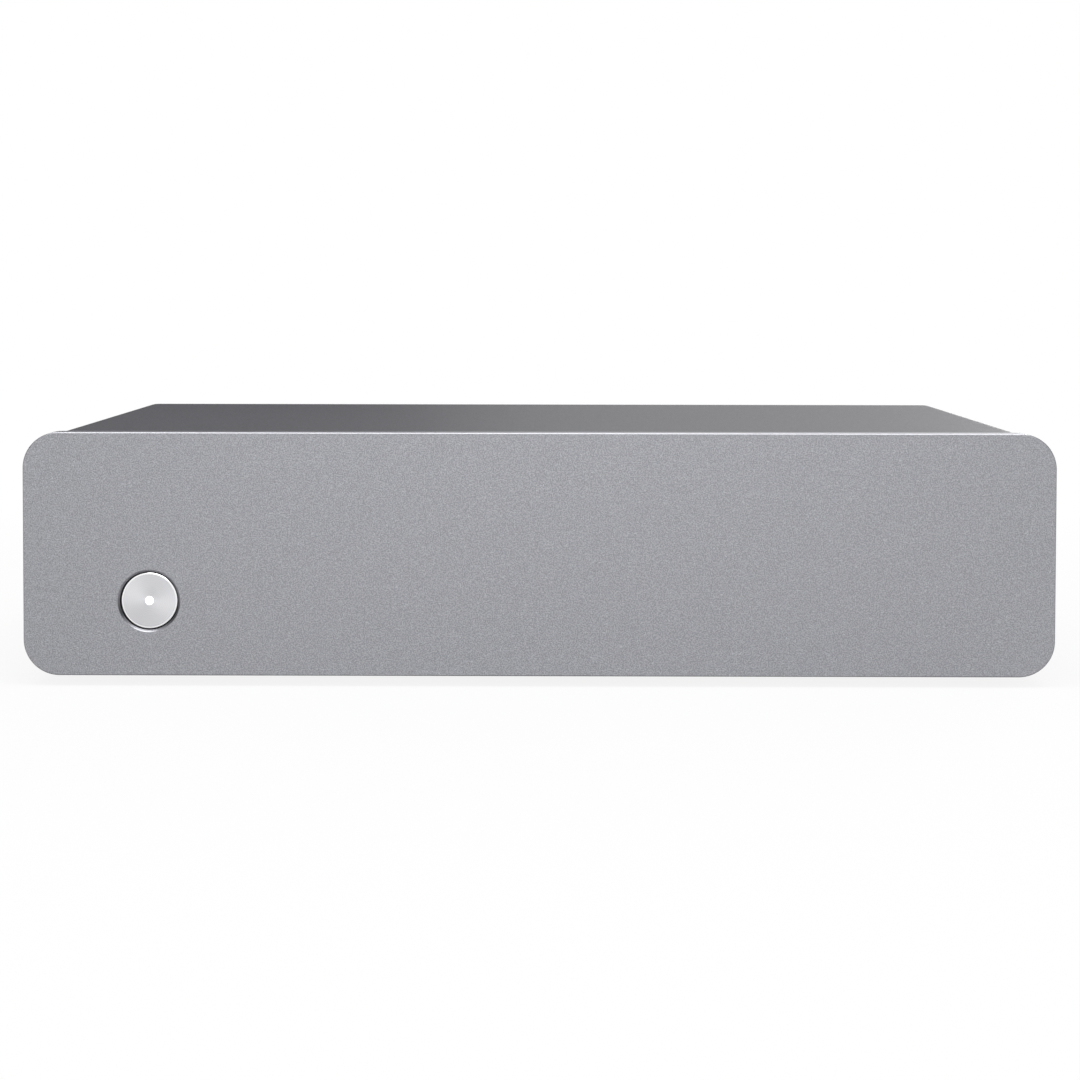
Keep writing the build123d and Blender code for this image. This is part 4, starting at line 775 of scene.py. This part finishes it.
def make_feet():
    """Rubber feet with rolled edges and the sunk middle that such feet are moulded with."""
    bm = bmesh.new()
    profile = (
        (FOOT_RADIUS, 0.0),
        (FOOT_RADIUS, FOOT_HEIGHT - 1.1),
        (FOOT_RADIUS - 0.15, FOOT_HEIGHT - 0.55),
        (FOOT_RADIUS - 0.5, FOOT_HEIGHT - 0.15),
        (FOOT_RADIUS - 1.0, FOOT_HEIGHT),
        (5.2, FOOT_HEIGHT),
        (4.8, FOOT_HEIGHT - 0.2),
        (4.5, FOOT_HEIGHT - 1.4),
        (0.8, FOOT_HEIGHT - 1.5),
    )
    for x in (-FOOT_X, FOOT_X):
        for y in (-FOOT_Y, FOOT_Y):
            turned(bm, profile, facing_down(x, y, FOOT_HEIGHT))
    finish_piece("feet", bm, "black_rubber", "case", ["rubber_feet"])


def make_screws(name, node, places, radius, height, shank, length):
    """A set of equal cross-recess screws."""
    bm = bmesh.new()
    for place in places:
        add_screw_head(bm, radius, height, place)
        turned(bm, ((shank * 0.9, -length), (shank, -length + shank), (shank, 0.0)), place, steps=24)
    finish_piece(name, bm, "black_screws", "case", [node])


def make_fixings():
    """The screws of the cover, of the mains inlet and of the socket blocks."""
    under_cover = [
        facing_down(x, y, COVER_LOW)
        for x in (-COVER_SCREW_X, COVER_SCREW_X)
        for y in (-COVER_SCREW_Y, COVER_SCREW_Y)
    ]
    beside_inlet = [
        facing_back(INLET_X + side * INLET_SCREW_REACH, INLET_FACE_Y, MID_Z) for side in (-1, 1)
    ]
    between_sockets = [facing_back(x, WALL_Y, MID_Z) for x in SOCKET_COLUMNS]
    make_screws(
        "cover_fixings", "cover_screws", under_cover, radius=2.8, height=1.4, shank=1.45, length=4.5
    )
    make_screws(
        "inlet_fixings",
        "mains_inlet_screws",
        beside_inlet,
        radius=2.8,
        height=1.9,
        shank=1.45,
        length=6.5,
    )
    make_screws(
        "socket_fixings",
        "jack_block_screws",
        between_sockets,
        radius=2.1,
        height=1.4,
        shank=1.05,
        length=7.0,
    )


def make_socket_shells():
    """The plated outer contacts of the four phono sockets."""
    length = SHELL_END_Y - SHELL_FLOOR_Y
    tail, tail_radius = BOSS_END_Y - SHELL_FLOOR_Y, SHELL_RADIUS - 0.15
    profile = (
        (SHELL_BORE_RADIUS, 0.0),
        (tail_radius, 0.0),
        (tail_radius, tail),
        (SHELL_RADIUS, tail),
        (SHELL_RADIUS, length - 0.25),
        (SHELL_RADIUS - 0.08, length - 0.08),
        (SHELL_RADIUS - 0.25, length),
        (SHELL_BORE_RADIUS + 0.15, length),
        (SHELL_BORE_RADIUS, length - 0.15),
    )
    bm = bmesh.new()
    for z in SOCKET_LEVELS.values():
        for x in SOCKET_COLUMNS:
            turned(bm, profile, facing_back(x, SHELL_FLOOR_Y, z), hollow=True)
    finish_piece("socket_shells", bm, "nickel_contacts", "case", ["jack_shells"])


def make_socket_contacts():
    """The bored contacts in the middle of the four phono sockets."""
    bore_radius, bore_depth = 1.62, 7.0
    length = CONTACT_END_Y - SHELL_FLOOR_Y
    profile = (
        (CONTACT_RADIUS, 0.0),
        (CONTACT_RADIUS, length - 0.2),
        (CONTACT_RADIUS - 0.12, length),
        (bore_radius + 0.12, length),
        (bore_radius, length - 0.15),
        (bore_radius, length - bore_depth),
    )
    bm = bmesh.new()
    for z in SOCKET_LEVELS.values():
        for x in SOCKET_COLUMNS:
            turned(bm, profile, facing_back(x, SHELL_FLOOR_Y, z), steps=48)
    finish_piece("socket_contacts", bm, "nickel_contacts", "case", ["jack_contacts"])


def make_socket_insulation():
    """The coloured rings between shell and contact, white on the left channel and red on the right."""
    inner, outer = CONTACT_RADIUS + 0.03, SHELL_BORE_RADIUS - 0.03
    for side, slot in (("left", "white_plastic"), ("right", "red_plastic")):
        start = y_extent(f"{side}_jack_inserts")[0]
        length = INSULATION_END_Y - start
        profile = (
            (inner, 0.0),
            (outer, 0.0),
            (outer, length - 0.2),
            (outer - 0.2, length),
            (CONTACT_RADIUS + 0.25, length),
            (inner, length - 0.2),
        )
        bm = bmesh.new()
        for x in SOCKET_COLUMNS:
            turned(bm, profile, facing_back(x, start, SOCKET_LEVELS[side]), hollow=True)
        finish_piece(f"socket_insulation_{side}", bm, slot, "case", [f"{side}_jack_inserts"])


def make_socket_blocks():
    """The moulded blocks behind the rear wall, with a boss round each socket that reaches through it."""
    half_width = 7.0
    length = BOSS_END_Y - WALL_IN_Y
    profile = (
        (SHELL_RADIUS - 0.1, 0.0),
        (BOSS_RADIUS, 0.0),
        (BOSS_RADIUS, length - 0.25),
        (BOSS_RADIUS - 0.08, length - 0.08),
        (BOSS_RADIUS - 0.25, length),
        (SHELL_RADIUS - 0.1, length),
    )
    bm = bmesh.new()
    low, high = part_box("jack_blocks")
    for x in SOCKET_COLUMNS:
        add_block(bm, (x - half_width, low.y / MM, low.z / MM), (x + half_width, WALL_IN_Y, high.z / MM))
        for z in SOCKET_LEVELS.values():
            turned(bm, profile, facing_back(x, WALL_IN_Y, z), hollow=True)
    finish_piece("socket_blocks", bm, "black_plastic", "case", ["jack_blocks"])


def make_balance_fixing():
    """The washer and the hexagonal nut that hold the balance control to the rear wall."""
    bush_radius, washer_radius, washer_thickness = 3.6, 6.2, 0.5
    low, high = y_extent("balance_nut")
    nut_length = high - low - washer_thickness
    bm = bmesh.new()
    washer = (
        (bush_radius, 0.0),
        (washer_radius, 0.0),
        (washer_radius, washer_thickness),
        (bush_radius, washer_thickness),
    )
    turned(bm, washer, facing_back(BALANCE_X, WALL_Y, MID_Z), hollow=True)
    place = facing_back(BALANCE_X, low + washer_thickness, MID_Z)
    corner = hexagon_corner(10.0)
    bore = add_loop(bm, circle(bush_radius, 0.0, place, steps=48))
    bore_end = add_loop(bm, circle(bush_radius, nut_length, place, steps=48))
    hexagon = add_loop(bm, circle(corner, 0.0, place, steps=6))
    hexagon_end = add_loop(bm, circle(corner, nut_length, place, steps=6))
    join_loops(bm, bore, bore_end)
    join_loops(bm, hexagon, hexagon_end)
    fill_flat(bm, hexagon, bore)
    fill_flat(bm, hexagon_end, bore_end)
    finish_piece("balance_fixing", bm, "zinc_screws", "case", ["balance_nut"], edge=0.15)


def make_balance_knob():
    """The balance knob with its moulded grip and its white pointer."""
    start, end = y_extent("balance_knob")
    length = end - start
    radius, shaft_radius = 6.2, 3.03
    flutes, flute_depth, flute_fade = 12, 0.55, 1.0
    pointer_half_width, pointer_depth = 0.45, 0.4

    def grip(angle, height):
        """Shallow round flutes that fade out near the knob's face."""
        wave = 0.5 - 0.5 * math.cos(angle * flutes)
        return -flute_depth * wave ** 3 * min(1.0, (length - height) / flute_fade)

    bm = bmesh.new()
    profile = (
        (shaft_radius, 0.0),
        (radius - 0.3, 0.0),
        (radius, 0.3),
        (radius, length - 1.4),
        (radius, length - flute_fade),
        (radius - 0.06, length - 0.6),
        (radius - 0.25, length - 0.25),
        (radius - 0.7, length - 0.03),
        (radius - 1.2, length),
        (radius - 1.8, length - 0.12),
        (0.5, length - 0.2),
    )
    turned(bm, profile, facing_back(BALANCE_X, start, MID_Z), steps=144, ripple=grip)
    finish_piece("balance_grip", bm, "black_plastic", "balance", ["balance_knob"])

    bm = bmesh.new()
    low = (BALANCE_X - pointer_half_width, end - pointer_depth, MID_Z + 1.6)
    high = (BALANCE_X + pointer_half_width, end - 0.02, MID_Z + radius - 0.5)
    add_block(bm, low, high)
    finish_piece("balance_pointer", bm, "white_plastic", "balance", edge=0.08)


def make_ground_post():
    """The threaded post and the hexagon at its base."""
    start, end = y_extent("ground_terminal")
    length = end - start
    radius, pitch, thread_depth, rings_per_turn = 1.95, 0.7, 0.28, 6

    def thread(angle, height):
        """A V-shaped helical groove."""
        turn = (height / pitch - angle / (2 * math.pi)) % 1.0
        return -thread_depth * (1 - abs(2 * turn - 1))

    bm = bmesh.new()
    count = int(length / pitch * rings_per_turn)
    profile = [(radius, length * ring / count) for ring in range(count)]
    profile.append((radius - 0.15, length - 0.02))
    turned(bm, profile, facing_back(GROUND_X, start, MID_Z), steps=36, ripple=thread)
    finish_piece("ground_post", bm, "nickel_contacts", "case", ["ground_terminal"])

    bm = bmesh.new()
    corner, thickness = hexagon_corner(9.0), 1.6
    turned(bm, ((corner, 0.0), (corner, thickness)), facing_back(GROUND_X, WALL_Y, MID_Z), steps=6)
    finish_piece("ground_post_base", bm, "nickel_contacts", "case", edge=0.2)


def make_ground_washer():
    """The washer that clamps a lead."""
    start, end = y_extent("ground_washer")
    radius = 4.4
    profile = (
        (GROUND_BORE_RADIUS, 0.0),
        (radius, 0.0),
        (radius, end - start),
        (GROUND_BORE_RADIUS, end - start),
    )
    bm = bmesh.new()
    turned(bm, profile, facing_back(GROUND_X, start, MID_Z), hollow=True)
    finish_piece("ground_clamp_washer", bm, "nickel_contacts", "ground_washer", ["ground_washer"], edge=0.1)


def make_ground_nut():
    """The thumb nut with its collar and its knurled head."""
    start, end = y_extent("ground_thumb_nut")
    length = end - start
    collar_radius, head_radius, head_length = 3.6, 5.0, 3.4
    chamfer, knurls, knurl_depth, knurl_margin = 0.35, 30, 0.22, 0.3
    shoulder = length - head_length

    def knurl(angle, height):
        """Straight knurling round the head only."""
        if shoulder + knurl_margin < height < length - knurl_margin:
            return -knurl_depth * (0.5 + 0.5 * math.cos(angle * knurls))
        return 0.0

    bm = bmesh.new()
    profile = (
        (GROUND_BORE_RADIUS, 0.0),
        (collar_radius, 0.0),
        (collar_radius, shoulder),
        (head_radius - chamfer, shoulder),
        (head_radius, shoulder + chamfer),
        (head_radius, length - chamfer),
        (head_radius - chamfer, length),
        (GROUND_BORE_RADIUS + chamfer, length),
        (GROUND_BORE_RADIUS, length - chamfer),
    )
    turned(bm, profile, facing_back(GROUND_X, start, MID_Z), steps=180, hollow=True, ripple=knurl)
    finish_piece("ground_nut_knurled", bm, "nickel_contacts", "ground_nut", ["ground_thumb_nut"])


def background_rays(tree):
    """1 for the rays that see the background directly or in a reflection, and 0 for the rest."""
    path = tree.nodes.new("ShaderNodeLightPath")
    share = path.outputs["Is Camera Ray"]
    for other in ("Is Glossy Ray", "Is Transmission Ray"):
        share = combined(tree, "MAXIMUM", share, path.outputs[other])
    return share


def mix_to_output(tree, share, first, second, output):
    """Sends first to the output node where share is 0, and second where it is 1."""
    mix = tree.nodes.new("ShaderNodeMixShader")
    tree.links.new(share, mix.inputs["Fac"])
    tree.links.new(first, mix.inputs[1])
    tree.links.new(second, mix.inputs[2])
    tree.links.new(mix.outputs["Shader"], tree.nodes[output].inputs["Surface"])


def make_stage():
    """A white floor that keeps the object's shadow.

    The camera sees it mostly as plain white near the object, and wholly so further out. Reflections
    see it lit as it is near the object, and plain white further out.
    """
    near_share, fade_start, fade_end = 0.88, 0.13, 0.40
    bpy.ops.mesh.primitive_plane_add(size=30.0)
    floor = bpy.context.object
    floor.name = "floor"
    material, tree, shader = surface("white_floor", 0.0, 0.9, specular=0.0)
    shader.inputs["Base Color"].default_value = (0.9, 0.9, 0.9, 1.0)
    glow = tree.nodes.new("ShaderNodeEmission")
    glow.inputs["Strength"].default_value = 1.0
    path = tree.nodes.new("ShaderNodeLightPath")
    near = scaled(tree, path.outputs["Is Glossy Ray"], near_share, 0.0)
    fading = scaled(tree, length_of(tree, position(tree)), 0.0, 1.0, fade_start, fade_end)
    tree.links.new(near, fading.node.inputs["To Min"])
    white = combined(tree, "MULTIPLY", fading, background_rays(tree))
    mix_to_output(tree, white, shader.outputs["BSDF"], glow.outputs["Emission"], "Material Output")
    floor.data.materials.append(material)


def make_world():
    """Soft light from all round, and plain white where the background is seen."""
    world = bpy.data.worlds.new("studio")
    world.use_nodes = True
    bpy.context.scene.world = world
    tree = world.node_tree
    ambient = tree.nodes["Background"]
    ambient.inputs["Color"].default_value = (1.0, 1.0, 1.0, 1.0)
    ambient.inputs["Strength"].default_value = 0.40
    white = tree.nodes.new("ShaderNodeBackground")
    white.inputs["Color"].default_value = (1.0, 1.0, 1.0, 1.0)
    white.inputs["Strength"].default_value = 1.0
    lit, seen = ambient.outputs["Background"], white.outputs["Background"]
    mix_to_output(tree, background_rays(tree), lit, seen, "World Output")


def aimed(place, axis):
    """The rotation that turns a lamp's or card's own axis from its place towards AIM."""
    return (Vector(AIM) - Vector(place)).to_track_quat(axis, "Y").to_euler()


def add_softbox(name, place, size, power):
    """A rectangular lamp of size metres and power watts."""
    light = bpy.data.lights.new(name, "AREA")
    light.shape = "RECTANGLE"
    light.size, light.size_y = size
    light.energy = power
    lamp = bpy.data.objects.new(name, light)
    lamp.location = place
    lamp.rotation_euler = aimed(place, "-Z")
    bpy.context.scene.collection.objects.link(lamp)


def make_lights():
    """Lamps above, in front, and behind to the right."""
    add_softbox("overhead", (0.0, -0.30, 1.0), (0.9, 0.5), 6.0)
    add_softbox("front", (-0.02, -1.1, 0.50), (0.5, 0.4), 2.2)
    add_softbox("back", (0.6, 1.1, 0.35), (0.5, 0.3), 4.0)


def add_flag(name, place, size):
    """A dark card beside the object, which the camera doesn't see and the metal does."""
    bpy.ops.mesh.primitive_plane_add(size=1.0)
    card = bpy.context.object
    card.name = name
    card.scale = (*size, 1.0)
    card.location = place
    card.rotation_euler = aimed(place, "Z")
    material, _, shader = surface(name, 0.0, 0.9)
    shader.inputs["Base Color"].default_value = (0.03, 0.03, 0.03, 1.0)
    card.data.materials.append(material)
    card.visible_camera = False
    card.visible_diffuse = False
    card.visible_shadow = False


def make_flags():
    """Cards that put dark edges on the metal, one on each side and one behind to the left."""
    add_flag("right_flag", (0.9, -0.5, 0.25), (1.0, 0.9))
    add_flag("left_flag", (-0.9, -0.5, 0.25), (1.0, 0.9))
    add_flag("back_flag", (-0.45, 0.9, 0.30), (0.9, 0.8))


def make_camera():
    """The camera, looking at the object as the photograph does."""
    data = bpy.data.cameras.new("camera")
    data.lens = CAMERA_LENS
    data.sensor_width = 36.0
    data.shift_x, data.shift_y = CAMERA_SHIFT
    camera = bpy.data.objects.new("camera", data)
    turn = (
        Matrix.Rotation(math.radians(CAMERA_YAW), 4, "Z")
        @ Matrix.Rotation(math.radians(90 - CAMERA_PITCH), 4, "X")
        @ Matrix.Rotation(math.radians(CAMERA_ROLL), 4, "Z")
    )
    camera.rotation_euler = turn.to_euler()
    camera.location = [value * MM for value in CAMERA_PLACE]
    bpy.context.scene.collection.objects.link(camera)
    bpy.context.scene.camera = camera


bpy.context.scene.view_settings.view_transform = "Standard"
make_camera()
make_world()
make_lights()
make_stage()
make_flags()

materials = make_materials()
paint_cad_nodes()
make_front_panel()
make_cover()
make_button_cap()
make_light_rod()
make_return_spring()
make_feet()
make_fixings()
refine_node("inlet_moulding", "mains_inlet", "black_plastic", edge=0.3)
refine_node("inlet_blades", "mains_inlet_blades", "nickel_contacts", edge=0.25)
make_socket_shells()
make_socket_contacts()
make_socket_insulation()
make_socket_blocks()
make_balance_fixing()
make_balance_knob()
make_ground_post()
make_ground_washer()
make_ground_nut()
